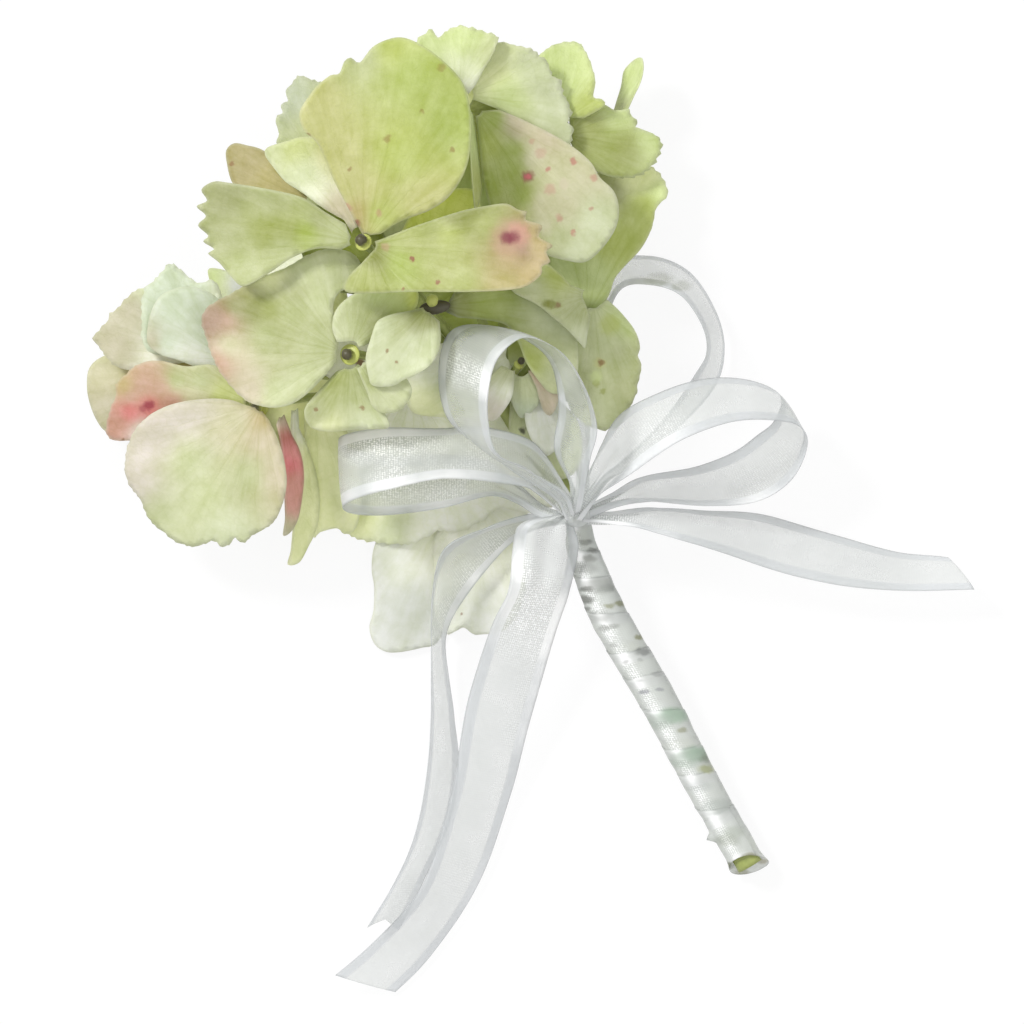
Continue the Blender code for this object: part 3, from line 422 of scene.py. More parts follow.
# Along its top edge a2 is painted olive and deep olive: painted shadow of sepal a1 above it.
petal("a", 2, (-27.3, 44.8, 35.2), (3.4, 45.0, 37.5),
      [(-24.8, 46), (-20, 47.8), (-12, 50.3), (-7.5, 51.2), (-4, 51.6), (-2, 50.6), (-0.5, 50.3), (-0.8, 49),
       (2, 48), (1.4, 46.2), (3.7, 44.8), (2.6, 43.7), (3.3, 42), (1.9, 41.2), (1.8, 39.8), (-0.5, 37.8), (-3.5,
       37), (-10, 36.6), (-20, 36.8), (-27, 36.7), (-31.5, 37.2), (-31, 39.5), (-29, 41.5)],
      [(-22, 42, LEAF_LIME), (-8, 49, WAX_LIME), (1, 45, PEACH), (-3, 43.5, PEACH), (-1.9, 44.2, ASH_ROSE),
       (-12, 39, WAX_LIME), (0, 39.5, PEACH), (-14, 47, SUN_LIME), (-28, 40, WAX_LIME), (-20, 45, WAX_LIME),
       (-17, 48.6, OLIVE), (-13.4, 49.8, DEEP_OLIVE), (-9, 50.8, DEEP_OLIVE), (-26.6, 42.4, DEEP_OLIVE), (-11.4,
       50.4, DEEP_OLIVE), (-4, 38, HONEY)],
      roll=6, cup=1.5, arch=1.5, soften=1.0, ripple=0.45, waves=10, freckles=((-3.6, 46.0,
       3.6, ROSE, 0.6), (-2.2, 46.8, 2.2, SALMON, 0.4), (-4.2, 46.1, 1.3, PLUM, 0.55), (-2.8, 46.2, 1.3, PLUM,
       0.5), (-4.0, 46.1, 0.8, PLUM, 0.5), (-2.9, 46.2, 0.7, PLUM, 0.4), (-20.2, 42.5, 0.5, WINE, 0.7), (-15.8,
       38.6, 0.45, WINE, 0.6), (-21.6, 37.4, 0.4, WINE, 0.5), (-24.6, 44.6, 0.8, BRICK, 0.4), (0.9, 49.2, 0.5,
       RUST, 0.5)))
petal("a", 3, (-29.6, 45.5, 35.0), (-56.4, 48.0, 30.0),
      [(-31.3, 48.5), (-34.5, 50.5), (-38.5, 53.2), (-44, 54.6), (-50.5, 55.6), (-53.5, 55.8), (-55.6, 54.4),
       (-54.6, 52.6), (-56.4, 51.6), (-54.8, 50), (-56.2, 48.4), (-54.5, 46.6), (-55.4, 45.6), (-53.5, 44.3),
       (-54.6, 43.6), (-52.5, 42), (-50.5, 40), (-48, 38.3), (-44, 40.4), (-40, 43), (-36, 44.4), (-32, 44.2)],
      [(-52, 53, FERN), (-44, 52, SAGE), (-36, 49, SAGE), (-52, 46, SAGE), (-42, 44, MEADOW), (-48, 41, MEADOW),
       (-33, 46.5, MEADOW), (-41, 47.6, OLIVE), (-44.5, 47.2, OLIVE), (-38, 47, LEAF_LIME)],
      roll=8, cup=1.0, arch=1.5, soften=1.2, ripple=0.4, waves=12)
# The snow-white touch in its middle is painted light where it lies in shade.
petal("a", 4, (-29.2, 46.8, 33.8), (-44.6, 61.2, 28.5),
      [(-31.5, 49), (-35, 51), (-38.5, 53.6), (-41.5, 55.6), (-43.8, 58.4), (-45, 60.2), (-44.6, 61.4), (-41.5,
       62.3), (-38, 63), (-34, 62), (-31, 57), (-29.3, 51)],
      [(-44, 60, MILK), (-38, 57, IVORY), (-40, 55, IVORY), (-37.6, 53, SNOW), (-40, 61.2, SUN_LIME), (-33, 51,
       BLUSH), (-34, 60, TAN_LIME)],
      curl=0.8)

# ---- floret b: in front of floret a and lower, its left sepal flushed with rose
# at the tip. Its four sepals spread nearly flat from a small dark bud.
# Its upper left is painted deep olive and fern: painted shadow of sepal a3 above it. The chalk touch near its top edge
# is painted light, and its rose tip is painted duller, partly as shade.
petal("b", 1, (-31.8, 26.8, 29.0), (-55.8, 30.2, 24.0),
      [(-32.5, 30), (-33.3, 34), (-32.6, 36.6), (-30.2, 38.2), (-28.8, 40.2), (-29.6, 43), (-33, 44.4), (-37,
       43.4), (-41, 41.2), (-45.5, 39.5), (-50, 37), (-54.6, 34.6), (-56, 32.2), (-55.2, 29.8), (-54, 26.8),
       (-52.6, 24), (-50.8, 21.4), (-48, 18.7), (-44.5, 17.5), (-41, 17.7), (-38, 19.4), (-35, 22.5), (-33,
       25)],
      [(-36, 36, MILK), (-36, 28, MEADOW), (-44, 29, SAGE), (-51, 28, CREAM), (-54.5, 31.6, ASH_ROSE), (-47, 34,
       DEEP_OLIVE), (-51.6, 32.4, ROSE), (-50.2, 34.2, FERN), (-40, 37, SAGE), (-53, 25, ROSE), (-48, 20.5,
       BLUSH), (-43, 20, MILK), (-38, 22, MILK), (-38.5, 40.5, MILK), (-44.6, 33.8, OLIVE), (-45, 30.2, MEADOW),
       (-40.6, 33.4, MEADOW), (-44, 39.6, CHALK_LIME), (-52.6, 32.6, ASH_ROSE), (-33, 40.5, MILK), (-30.5, 40,
       MEADOW)],
      roll=2, cup=0.8, arch=2.0, teeth=0.25, soften=1.5, ripple=0.5, waves=9)
# The pale and glowing lime touches towards its tip are painted light where it lies in shade.
petal("b", 2, (-30.4, 27.6, 29.4), (-20.5, 35.8, 26.0),
      [(-32.8, 28.5), (-33.7, 31), (-33.2, 33.8), (-31.2, 36), (-28, 37.4), (-23.6, 38), (-19.8, 37.6), (-19.4,
       35), (-21.4, 32), (-24.6, 29.8), (-28.4, 27.8)],
      [(-33, 32, MILK), (-29, 35, MEADOW), (-26, 32, SAGE), (-26.4, 36.4, PALE_LIME), (-22, 35, PALE_LIME),
       (-19.8, 35.6, PAINTED_LIGHT_LIME)],
      roll=-6, cup=0.8, arch=0.6, curl=0.7)
petal("b", 3, (-30.8, 25.0, 27.6), (-30.0, 12.0, 24.6),
      [(-33, 23.6), (-36, 20.5), (-38.4, 17.5), (-37.5, 14.5), (-34.5, 13.6), (-30, 13.8), (-26.4, 14), (-24,
       14.6), (-25.4, 18), (-26.8, 21), (-28, 23.6), (-29.3, 24.8)],
      [(-36, 16, SAGE), (-34.6, 13.8, CHALK_LIME), (-30, 20, MEADOW), (-28, 14, IVORY), (-33, 22, OLIVE)],
      freckles=((-28.6, 17.3, 0.45, RUST, 0.6), (-36.4, 17.1, 0.4, RUST, 0.6)))
petal("b", 4, (-29.6, 25.2, 29.6), (-22.4, 17.0, 27.8),
      [(-29, 22.8), (-27.8, 20), (-27, 17.8), (-25.2, 16.5), (-22.4, 16.9), (-20.6, 19), (-20.4, 21.2), (-22.5,
       23.6), (-26.6, 25.6)],
      [(-24, 19, MILK), (-28, 22, MEADOW)],
      cup=0.4, arch=0.4)

# ---- floret k: squeezed between the first two, so only an ivory sepal, a shaded
# olive one and a lime one come out from under them.
# The ivory sepal's top is painted fern and olive: painted shadow of sepal a2 over it.
petal("k", 1, (-17.2, 34.6, 29.0), (-27.4, 21.6, 30.0),
      [(-20, 33.9), (-23.4, 33.2), (-26, 32), (-27, 29.6), (-28, 26), (-27.6, 23), (-26.8, 21.1), (-23.5, 21),
       (-21.5, 22.1), (-20, 22.7), (-17.6, 24.1), (-15.9, 26.4), (-15.3, 29), (-15.5, 32)],
      [(-22, 26, IVORY), (-17, 27, IVORY), (-25.4, 30.6, IVORY), (-20, 24, IVORY), (-22, 30.4, MEADOW), (-19.6,
       31.6, FERN), (-16.8, 31.6, FERN), (-18.4, 33, OLIVE), (-20.6, 28.6, IVORY), (-16.6, 29.4, IVORY)],
      cup=0.4, soften=0.5, freckles=((-24.4, 26.9, 0.35, RUST, 0.6), (-22.8, 25.1, 0.3,
       RUST, 0.6)))
# Near its claw it is painted near black: painted shade of the hollow round bud k. The ivory touch at its far end is
# painted light where it lies in shade.
petal("k", 2, (-15.2, 34.6, 24.4), (9.2, 26.6, 19.2),
      [(-13, 37), (-6, 38.6), (2, 38), (5.6, 34.5), (7.4, 31.2), (8.0, 27), (7.8, 22.8), (6, 20.2), (3.2, 20),
       (0.8, 22.6), (-1, 25.4), (-2.2, 28.6), (-4.2, 31.4), (-8, 32.3), (-12.4, 32.7)],
      [(-8, 35, LEAF_LIME), (4, 32, IVORY), (-12, 35, OLIVE), (-15, 34.4, SHADE_BLACK), (5, 24, MILK), (0, 26, LIME)],
      cup=0.2, arch=0.2)
# The glowing lime at its top and the snow white at its claw are painted light where it lies in shade.
petal("k", 3, (-16.6, 36.6, 28.2), (-14.0, 51.5, 26.0),
      [(-19.5, 38), (-22, 43), (-21.5, 48), (-18, 52.4), (-13.4, 54.6), (-9, 53.8), (-9, 46), (-11, 41), (-14.5,
       37.5)],
      [(-16, 42, LEAF_LIME), (-12.8, 53, PAINTED_LIGHT_LIME), (-18.2, 50, PAINTED_LIGHT_LIME), (-16.6, 36.8, SNOW)])

# ---- floret c: low at the left, one big round cream sepal and a rosy one behind,
# with two narrow sepals standing on edge beside them.
petal("c", 1, (-45.7, 17.9, 23.2), (-57.0, -6.0, 14.0),
      [(-48.4, 18.0), (-51.0, 18.9), (-55, 19.2), (-60, 18.6), (-64, 16.8), (-66.7, 14), (-68.2, 10.5), (-68.4,
       6.5), (-67.4, 4), (-66.2, 2.4), (-65.8, 0.5), (-64.9, -2), (-62, -4.6), (-59.5, -5.9), (-56.5, -6),
       (-53.6, -4.9), (-52.3, -6), (-51, -5.6), (-49.9, -4.4), (-48.6, -5.3), (-46.5, -3.6), (-43.4, -1.8),
       (-41.6, 1), (-40.8, 5), (-41.4, 9), (-42.6, 12.4), (-44.2, 15.4)],
      [(-58, 17, PEARL), (-50, 15, CREAM), (-64, 12, PEARL), (-67.4, 6, PEARL), (-58, 8, MILK), (-56, 2, MILK),
       (-48, 6, MEADOW), (-43, 6, BLUSH), (-45.4, 12.6, BLUSH), (-45.4, 15, PEACH), (-52, -4, IVORY), (-62, -2,
       MILK), (-66, 14, PEARL)],
      roll=-8, cup=-0.5, arch=3.0, teeth=0.35, ripple=0.45, waves=11, curl=-0.3)
petal("c", 2, (-47.3, 18.2, 22.2), (-72.0, 15.5, 13.0),
      [(-49.4, 22.4), (-53.6, 24.8), (-58, 24.6), (-62.5, 25.6), (-66, 25), (-68.5, 23), (-70.1, 21.5), (-70,
       20), (-71.4, 17), (-72.2, 13.5), (-71, 12), (-68.3, 11.9), (-63, 12), (-57, 14), (-51, 16.4)],
      [(-66, 21, ROSE), (-69, 21, PEACH), (-60, 22, MEADOW), (-52, 19.5, SUN_LIME), (-66, 13.5, PEARL), (-68,
       17, RASPBERRY), (-61, 18, BRICK), (-57, 19.4, CREAM), (-64.8, 17.6, RASPBERRY), (-70.6, 14.6, BRICK),
       (-63, 20.6, ROSE), (-56.4, 21.8, MEADOW), (-68, 19.4, ROSE)],
      roll=4, cup=0.5, arch=1.5, teeth=0.3, soften=0.7, freckles=((-64.9, 17.8, 1.0, WINE,
       0.75), (-66.0, 17.2, 0.8, WINE, 0.5), (-69.4, 11.9, 0.5, RUST, 0.6)))
# The two that stand on edge face away from the lamp and are painted paler than they are: painted light on their shaded
# faces.
petal("c", 3, (-42.4, 16.8, 22.0), (-40.6, -4.6, 14.0),
      [(-43.2, 14.6), (-42.6, 10), (-42.2, 5), (-42, 1), (-42, -1.5), (-42.4, -4.2), (-41, -3.6), (-40, -1.6),
       (-39.4, 2), (-39.2, 6), (-39.8, 10), (-41, 13)],
      [(-41.2, 12.6, RASPBERRY), (-40.4, 9.4, SHELL), (-40.2, 5, SALMON), (-40.6, 1, SALMON), (-41.2, -3,
       CREAM), (-42.4, 15, BLUSH), (-41.0, 8, HOT_PINK)],
      roll=56, cup=0.4, arch=0.4, curl=0.1, ripple=0.1)
petal("c", 4, (-40.2, 18.0, 15.0), (-38.8, -9.4, 6.0),
      [(-41, 14), (-40.6, 9), (-40.5, 4), (-40.6, 0), (-40.8, -4), (-41, -7), (-41.5, -9.2), (-39.5, -8.8),
       (-38, -6), (-36.8, -3), (-36.3, 1), (-36.6, 5), (-38, 10), (-39.6, 14)],
      [(-38, 8, CHALK_LIME), (-38, -2, CHALK_LIME), (-40, -8, CHALK_LIME), (-36.9, -1, CHALK_LIME), (-40, 14.6,
       SNOW)],
      roll=42, cup=0.4, arch=0.4, curl=0.1, ripple=0.1)

# ---- floret l: behind floret c, two thin minty sepals and two creamy ones that
# have started to fade.
petal("l", 1, (-51.4, 25.6, 18.0), (-64.6, 32.6, 18.2),
      [(-52.6, 22.4), (-55.1, 23.5), (-57.4, 24.5), (-60.2, 25.6), (-63, 26.5), (-65.1, 28.4), (-65, 31.6),
       (-64, 34.9), (-62.1, 37), (-58.8, 38), (-56, 37.6), (-53, 35.8), (-50.4, 32), (-49.6, 28.4)],
      [(-60, 34, MINT), (-55, 30, MINT), (-57, 36, MINT), (-60.4, 25.8, FROST), (-57, 24.8, FROST), (-61.7,
       28.4, MINT), (-64.4, 28.4, OAT)],
      cup=0.4, arch=0.6, soften=0.8)
# The snow-white touches on l2 and l3 are painted light where they lie in shade.
petal("l", 2, (-54.2, 27.6, 16.5), (-61.4, 41.8, 14.5),
      [(-60, 26.6), (-64, 26.4), (-65.9, 28.5), (-66, 33), (-65.9, 37), (-64.5, 38.6), (-63, 40), (-62, 41.5),
       (-61, 41.9), (-59.4, 40.8), (-57.6, 39.2), (-56.2, 38.4), (-54, 39), (-52.5, 36.5), (-53, 32)],
      [(-62, 39, MINT), (-64, 32, MINT), (-56, 37, MINT), (-53.6, 36.4, SNOW)],
      teeth=0.5, ripple=0.4, waves=12)
petal("l", 3, (-54.8, 26.2, 15.0), (-73.9, 30.6, 10.6),
      [(-60, 33), (-62, 37), (-65.3, 37.8), (-68, 36.6), (-70, 34.4), (-71.4, 33.5), (-71.6, 32.4), (-73.4,
       30.6), (-74.4, 29.2), (-72.4, 26.5), (-70.5, 24.5), (-66, 23.5), (-61, 24.6)],
      [(-68, 34, OAT), (-71, 28, OAT), (-62, 26, SNOW), (-64, 37, IVORY)],
      teeth=0.4)
petal("l", 4, (-54.6, 24.6, 13.6), (-75.6, 20.4, 4.5),
      [(-62, 26.5), (-68, 27.4), (-72.6, 26.2), (-75, 24.2), (-75.6, 21), (-75.2, 18.4), (-74, 15.8), (-72,
       13.6), (-69, 13), (-64, 16), (-60, 21)],
      [(-72, 24, CREAM), (-72, 17, OAT), (-66, 22, HONEY)])

# ---- floret g: at the back on the left, a honey-coloured sepal and a pale
# toothed one.
petal("g", 1, (-37.0, 52.4, 27.0), (-51.4, 61.6, 22.0),
      [(-41, 57.5), (-45, 60.8), (-48, 61.8), (-50.2, 62.2), (-51.6, 61), (-51.4, 58.6), (-50.4, 55.4), (-48,
       53), (-43, 51.6)],
      [(-48, 59, STRAW), (-44, 56, HONEY), (-50, 61, STRAW)],
      freckles=((-50.8, 58.8, 0.5, RUST, 0.6),))
petal("g", 2, (-35.0, 57.0, 25.0), (-41.6, 73.2, 17.0),
      [(-38.5, 59), (-42.8, 61.5), (-42.6, 63.5), (-43.1, 66), (-42, 67), (-42.3, 68.5), (-41.2, 69.2), (-41.5,
       71), (-40.5, 72.3), (-39.5, 73.5), (-38.4, 73.2), (-36, 72.4), (-33, 71), (-31.5, 66), (-33, 61)],
      [(-40, 70, ASH_MINT), (-37, 64, MEADOW), (-34, 70, MEADOW)],
      teeth=0.5, ripple=0.4, waves=12)

# ---- floret d: at the top, a lime sepal with a rolled pale edge, a toothed one, a
# cream one flecked with wine red, a plain lime one, and a thin sepal on edge.
# The snow-white touch near its base is painted light where it lies in shade.
petal("d", 1, (-12.2, 71.0, 26.6), (-12.4, 82.0, 24.5),
      [(-14.5, 73), (-17, 75), (-19.5, 78.8), (-17.8, 80.6), (-16.8, 81.4), (-15.8, 79.9), (-14.6, 81), (-12,
       81.9), (-9, 81.4), (-6.8, 80.6), (-5.6, 79.6), (-6.4, 77), (-8, 74.4), (-9.4, 72), (-10.6, 70.6)],
      [(-16, 80.5, PALE_LIME), (-10, 80, PALE_LIME), (-7, 78, MEADOW), (-12, 74, IVORY), (-10.4, 72, SNOW),
       (-8.5, 70.5, MEADOW)],
      teeth=0.5, ripple=0.4, waves=9, curl=0.8)
petal("d", 2, (-10.8, 70.4, 25.2), (6.4, 70.0, 19.0),
      [(-9.6, 74), (-8.8, 77), (-6, 79.4), (-2, 78.6), (-0.4, 78.2), (1, 77.4), (2.8, 75.6), (3.4, 73.8), (4.8,
       73), (5.6, 70.2), (6.8, 68.8), (6.8, 67), (6, 65.8), (7, 64.6), (6.6, 62.4), (5.8, 60.6), (3.2, 62.4),
       (-1.6, 65.6), (-6.2, 68.2)],
      [(0, 75, IVORY), (5, 67, IVORY), (-4, 71, PALE_LIME), (5, 72, IVORY), (-8, 76, MEADOW), (-6.6, 74,
       CHALK_LIME)],
      teeth=0.8, ripple=0.45, waves=12)
# Its left part is painted olive and leaf lime with a sharp edge: painted shadow of sepal a1, which stands above it. The
# wine and brick flecks are its own.
petal("d", 3, (-9.4, 68.0, 24.6), (9.0, 45.4, 21.6),
      [(-5.6, 68), (-2, 66.6), (3, 64.2), (7, 61.8), (10, 59.2), (11.6, 56.6), (14, 54.2), (14.9, 51.2), (14.4,
       48), (12.4, 44.8), (9.4, 42.2), (6, 42.4), (2, 43.6), (-3, 46), (-6.4, 50), (-8.2, 56), (-8.8, 62)],
      [(2, 63, BLUSH), (9, 58, CREAM), (-3, 58, LEAF_LIME), (-7, 62, LIME), (-7, 54, LEAF_LIME), (5, 52, CREAM),
       (11, 49, IVORY), (2, 48, CREAM), (8, 44, IVORY), (-2, 65, BLUSH), (-3, 49, TAN_LIME), (-6.2, 66.5,
       LEAF_LIME), (-3.2, 61, LEAF_LIME), (-1.8, 53, LEAF_LIME), (0.4, 47, OLIVE), (-2.6, 67, BLUSH), (0.6,
       59.5, CREAM), (2.0, 52, CREAM), (4.4, 46.4, MEADOW)],
      arch=2.0, soften=0.6, freckles=((-0.5, 56.6, 1.1, WINE, 0.75), (-0.5, 56.6, 0.7,
       HOT_PINK, 0.5), (2.9, 57.8, 0.55, BRICK, 0.9), (7.2, 59.2, 0.6, BRICK, 0.9), (4.9, 49.5, 0.8, BRICK,
       0.6), (7.2, 47.2, 0.55, BRICK, 0.8), (10.2, 51.2, 0.4, BRICK, 0.6), (3.2, 54.4, 1.1, ROSE, 0.6), (5.6,
       55.4, 1.0, BLUSH, 0.5), (1.6, 60.6, 1.0, ROSE, 0.5), (0.2, 62.6, 0.6, ROSE, 0.6), (10.6, 56.4, 0.7, ROSE,
       0.8)))
petal("d", 4, (-11.8, 67.4, 21.6), (-7.0, 48.0, 18.6),
      [(-13.4, 63), (-14, 57), (-13.4, 51), (-10, 48), (-5, 47.5), (-2, 50), (-2.6, 56), (-4.6, 62), (-5.4, 67),
       (-5.2, 70.6), (-6.6, 72.4), (-8.8, 71.4), (-10.4, 68.8)],
      [(-8, 62, SUN_LIME), (-8, 52, PALE_LIME), (-7, 70, OLIVE)],
      arch=0.4)
petal("d", 5, (-10.9, 69.4, 29.0), (-9.6, 50.6, 30.0),
      [(-10.7, 64), (-10.5, 58), (-10.0, 53), (-9.6, 50.8), (-9.1, 53.5), (-9.1, 57), (-9.5, 62), (-10, 67)],
      [(-10, 64, PALE_LIME), (-9.5, 54, SUN_LIME)],
      roll=80, cup=0.3, arch=0.3, curl=0.1, ripple=0.1)

# ---- floret e: at the upper right, fresh lime sepals, one standing on edge.
petal("e", 1, (5.0, 66.0, 17.5), (8.2, 79.8, 14.5),
      [(1.5, 68), (0, 72), (0.6, 76), (3, 78.4), (6, 79.6), (8.2, 79.4), (9.4, 77.6), (10.4, 75), (10.9, 72.4),
       (10.6, 70), (12, 69.6), (12.5, 68.4), (9, 66.5)],
      [(5, 76, PALE_LIME), (6.4, 71.8, PALE_LIME), (9.4, 69, LIME)],
      teeth=0.3)
petal("e", 2, (13.0, 64.5, 7.0), (18.6, 77.0, 8.5),
      [(14.5, 68.3), (15.6, 72), (16.4, 75), (19, 76.9), (19.2, 72.6), (18, 70), (16.4, 67)],
      [(17, 72, PALE_LIME), (16, 68, MEADOW)],
      roll=64, cup=0.5, arch=0.3, ripple=0.1)
petal("e", 3, (5.6, 63.8, 16.6), (22.0, 62.5, 11.0),
      [(6.5, 67.6), (9, 69), (10.5, 68.4), (12, 69), (14, 68), (16.4, 68.2), (16.8, 66.9), (18, 66.3), (17.6,
       65.2), (19.6, 64.4), (21, 63.8), (22.2, 62.2), (21.4, 60.2), (20.2, 58.4), (17, 56.6), (12, 57), (8,
       59.5)],
      [(10, 65, OLIVE), (16, 62, OLIVE), (20, 63, PALE_LIME), (15, 67, PALE_LIME)],
      teeth=0.7, ripple=0.6, waves=7)

# ---- floret f: beside the bow at the right, two broad lobed sepals and a small
# one that is tucked under floret a.
# The chalk touches at its top end are painted light where sepal e3 shades it.
petal("f", 1, (9.6, 33.2, 13.3), (20.0, 57.0, 9.0),
      [(12.0, 34.2), (13.4, 36.8), (14.2, 39.2), (16, 41.4), (18.6, 44.2), (20.4, 47.6), (21.2, 51), (22.2,
       52.4), (23.3, 53.6), (22.6, 56.4), (20.4, 58.6), (16, 59), (11, 57), (6, 52), (3, 46), (2.4, 42), (4.6,
       38.4), (6.6, 35.2)],
      [(14, 46, LIME), (14, 54, FERN), (21.6, 54, PALE_LIME), (20, 49, LIME), (10, 39, PALE_LIME), (5, 42,
       PALE_LIME), (17, 56.4, CHALK_LIME), (19.9, 56.6, CHALK_LIME), (19, 52, LIME)],
      arch=1.6, teeth=0.5, soften=1.5, ripple=0.5, waves=6)
petal("f", 2, (10.6, 35.4, 16.6), (15.0, 14.8, 13.0),
      [(13, 35.8), (15, 34), (17.2, 31.4), (18.2, 29.4), (18.5, 27.6), (18.1, 26.5), (18.7, 25), (18.5, 23),
       (18, 21.4), (18.1, 20), (17.2, 18.4), (16.4, 16.6), (14.6, 14.2), (11, 14.0), (7.6, 16), (5.6, 20), (5.4,
       25), (6.8, 30), (8.4, 34)],
      [(12, 30, MILK), (16, 32, PALE_LIME), (16, 20, SAGE), (12, 18, MILK), (10, 26, MILK), (16, 26, MEADOW),
       (8, 22, MEADOW)],
      teeth=0.45, ripple=0.5, waves=8, freckles=((11.7, 25.0, 1.1, TAN_LIME, 0.6),
       (11.9, 25.0, 0.6, RUST, 0.7), (13.4, 31.6, 2.0, LIME, 0.6), (11.2, 21.6, 0.7, OLIVE, 0.7), (12.2, 20.2,
       0.6, OLIVE, 0.7), (11.0, 22.6, 1.2, PALE_LIME, 0.6)))
petal("f", 3, (9.6, 36.4, 20.0), (-1.0, 40.0, 23.4),
      [(6.4, 38), (4.4, 40), (1.6, 42), (-1.4, 41.6), (-3, 38.4), (-2.8, 36.8), (1, 34.4), (5.2, 31), (8.2,
       28.6), (9.4, 27.6), (9.7, 30), (10.2, 33)],
      [(4, 40, LIME), (8, 34, MEADOW), (0, 38, MILK), (8, 29, IVORY)],
      roll=-15, freckles=((3.4, 34.9, 0.9, DEEP_OLIVE, 0.8), (2.5, 34.9, 0.8,
       DEEP_OLIVE, 0.8), (4.6, 34.8, 0.6, RUST, 0.6)))

# ---- floret n: a small floret inside the upper ribbon loop.
# Inside the loop these lie in shade; the snow, pearl, frost and chalk touches on them are painted light.
petal("n", 1, (-3.0, 24.8, 18.6), (-6.8, 15.2, 17.5),
      [(-5.0, 24.6), (-7.4, 22), (-8.2, 19), (-8.1, 16), (-7.4, 15.2), (-5.9, 15.4), (-4.7, 16.8), (-3.6, 18.4),
       (-3.0, 20), (-2.8, 22)],
      [(-4, 20, SNOW), (-6, 17, PEARL), (-4.6, 23, SAGE)],
      arch=0.4, vein=0.2)
petal("n", 2, (-1.6, 23.8, 17.6), (-1.4, 15.6, 15.8),
      [(-3.2, 23.4), (-4.2, 21.6), (-3.6, 19.2), (-2.7, 17.2), (-1.7, 15.7), (-0.4, 16.3), (1.1, 18), (1.4,
       20.2), (0.9, 22.4), (-0.2, 23.6)],
      [(-1, 20, MILK), (-1, 17, MINT)],
      arch=0.4, vein=0.2)
petal("n", 3, (-0.2, 24.8, 19.4), (3.4, 16.2, 17.6),
      [(0.9, 21), (1.5, 18.6), (2.2, 16.8), (3.2, 16.1), (4.2, 17.4), (4.8, 21), (3.6, 25), (1, 26)],
      [(3, 20, BLUSH), (3.6, 23, ROSE)],
      arch=0.4, vein=0.2)
petal("n", 4, (-3.2, 26.4, 16.0), (-20.4, 20.0, 18.2),
      [(-4, 28), (-8, 29.8), (-12.6, 29.0), (-17, 27.6), (-20.4, 24.6), (-21.2, 20), (-20, 16.6), (-15, 15.8),
       (-10.4, 15.8), (-7.4, 16.6), (-5.2, 19.6), (-4.2, 22), (-3.4, 24.2)],
      [(-8, 26, SAGE), (-11, 24, SAGE), (-12, 20, MILK), (-16, 24, SNOW), (-16, 28, SNOW), (-17, 18,
       CHALK_LIME), (-5, 25, SNOW)],
      arch=0.2, cup=0.2)
petal("n", 5, (0.6, 22.6, 15.4), (2.6, 9.2, 15.6),
      [(-0.8, 19), (-1, 15.4), (0.2, 11.8), (2.4, 9.2), (4.6, 10.8), (5.4, 14.6), (4.6, 19), (2.4, 22.2)],
      [(2, 18, FROST), (3, 11, FROST)],
      cup=0.2, arch=0.0, vein=0.2)

# ---- floret h: lowest at the front, sepals that hang down under the bow; two of
# them have bleached almost white.
# Under the bow they lie in shade. The chalk and snow on h1 and h2 are painted light, and h3 and h4 are painted whiter
# than their own bleached white.
petal("h", 1, (-36.6, 18.2, 12.0), (-33.8, -3.6, 4.4),
      [(-38.6, 16), (-38.4, 11), (-37.6, 5), (-37.2, 0), (-37.0, -4.4), (-35.9, -3.6), (-33, -3.0), (-31.8, -4),
       (-29.8, -3), (-28.8, 2), (-29.4, 8), (-31, 13), (-34, 16.6)],
      [(-35, 8, CHALK_LIME), (-34, 0, CHALK_LIME), (-36.6, 2, CHALK_LIME)],
      cup=0.1, arch=0.0)
petal("h", 2, (-20.4, 21.0, 7.0), (-23.0, -5.9, 3.0),
      [(-26, 21), (-31.6, 14), (-34, 5), (-33.6, 0), (-31.8, -3.6), (-29, -5), (-25, -5.7), (-22, -5.8), (-19.4,
       -5.4), (-18.8, -5.1), (-15.8, -3.4), (-12, -3.4), (-8, -1.5), (-5, 0.6), (0.4, -0.4), (5.2, 3.2), (4.8,
       13), (4.2, 18.6), (0.4, 23), (-6, 25), (-13, 24), (-17.4, 22.4)],
      [(-30, 2, MILK), (-29, -2, CHALK_LIME), (0, 2, SNOW), (-24, -4, IVORY), (-14, 0, SNOW), (-24, 12, SNOW),
       (-10, 2, SNOW), (-16, 14, SNOW), (-17, -4, SNOW)],
      teeth=0.5, ripple=0.6, waves=8)
petal("h", 3, (-13.2, 3.2, 2.4), (-22.6, -24.1, 0.3),
      [(-18, 1.5), (-24, -1.5), (-26.6, -6.0), (-27.1, -10), (-26.7, -13), (-26.8, -17), (-27.5, -20), (-26.6,
       -22.8), (-24.6, -24.1), (-22, -24.1), (-18.5, -23.4), (-16, -22.6), (-14, -18), (-14, -10), (-15.5,
       -3.4)],
      [(-24, -8, FROST), (-18, -7, SNOW), (-20, -16, ASH_WHITE)],
      cup=0.2, arch=0.2, vein=0.1)
petal("h", 4, (-9.8, 3.0, 3.5), (-10.6, -21.4, 2.0),
      [(-12.6, 1.6), (-15, -1.6), (-16.6, -5.6), (-16.4, -11), (-16.4, -17), (-14.6, -21), (-12.8, -20.6),
       (-11.4, -20), (-10, -21), (-8.6, -21.2), (-4, -20), (-1, -14), (-1.2, -6), (-0.6, 0.4), (-3.6, 4.2)],
      [(-12, -8, SNOW), (-4.6, -8, SNOW), (-8, -16, FROST)],
      cup=0.2, arch=0.4, vein=0.1, freckles=((-20.2, -16.1, 0.3, RUST, 0.6), (-11.7,
       -17.7, 0.3, RUST, 0.6)))

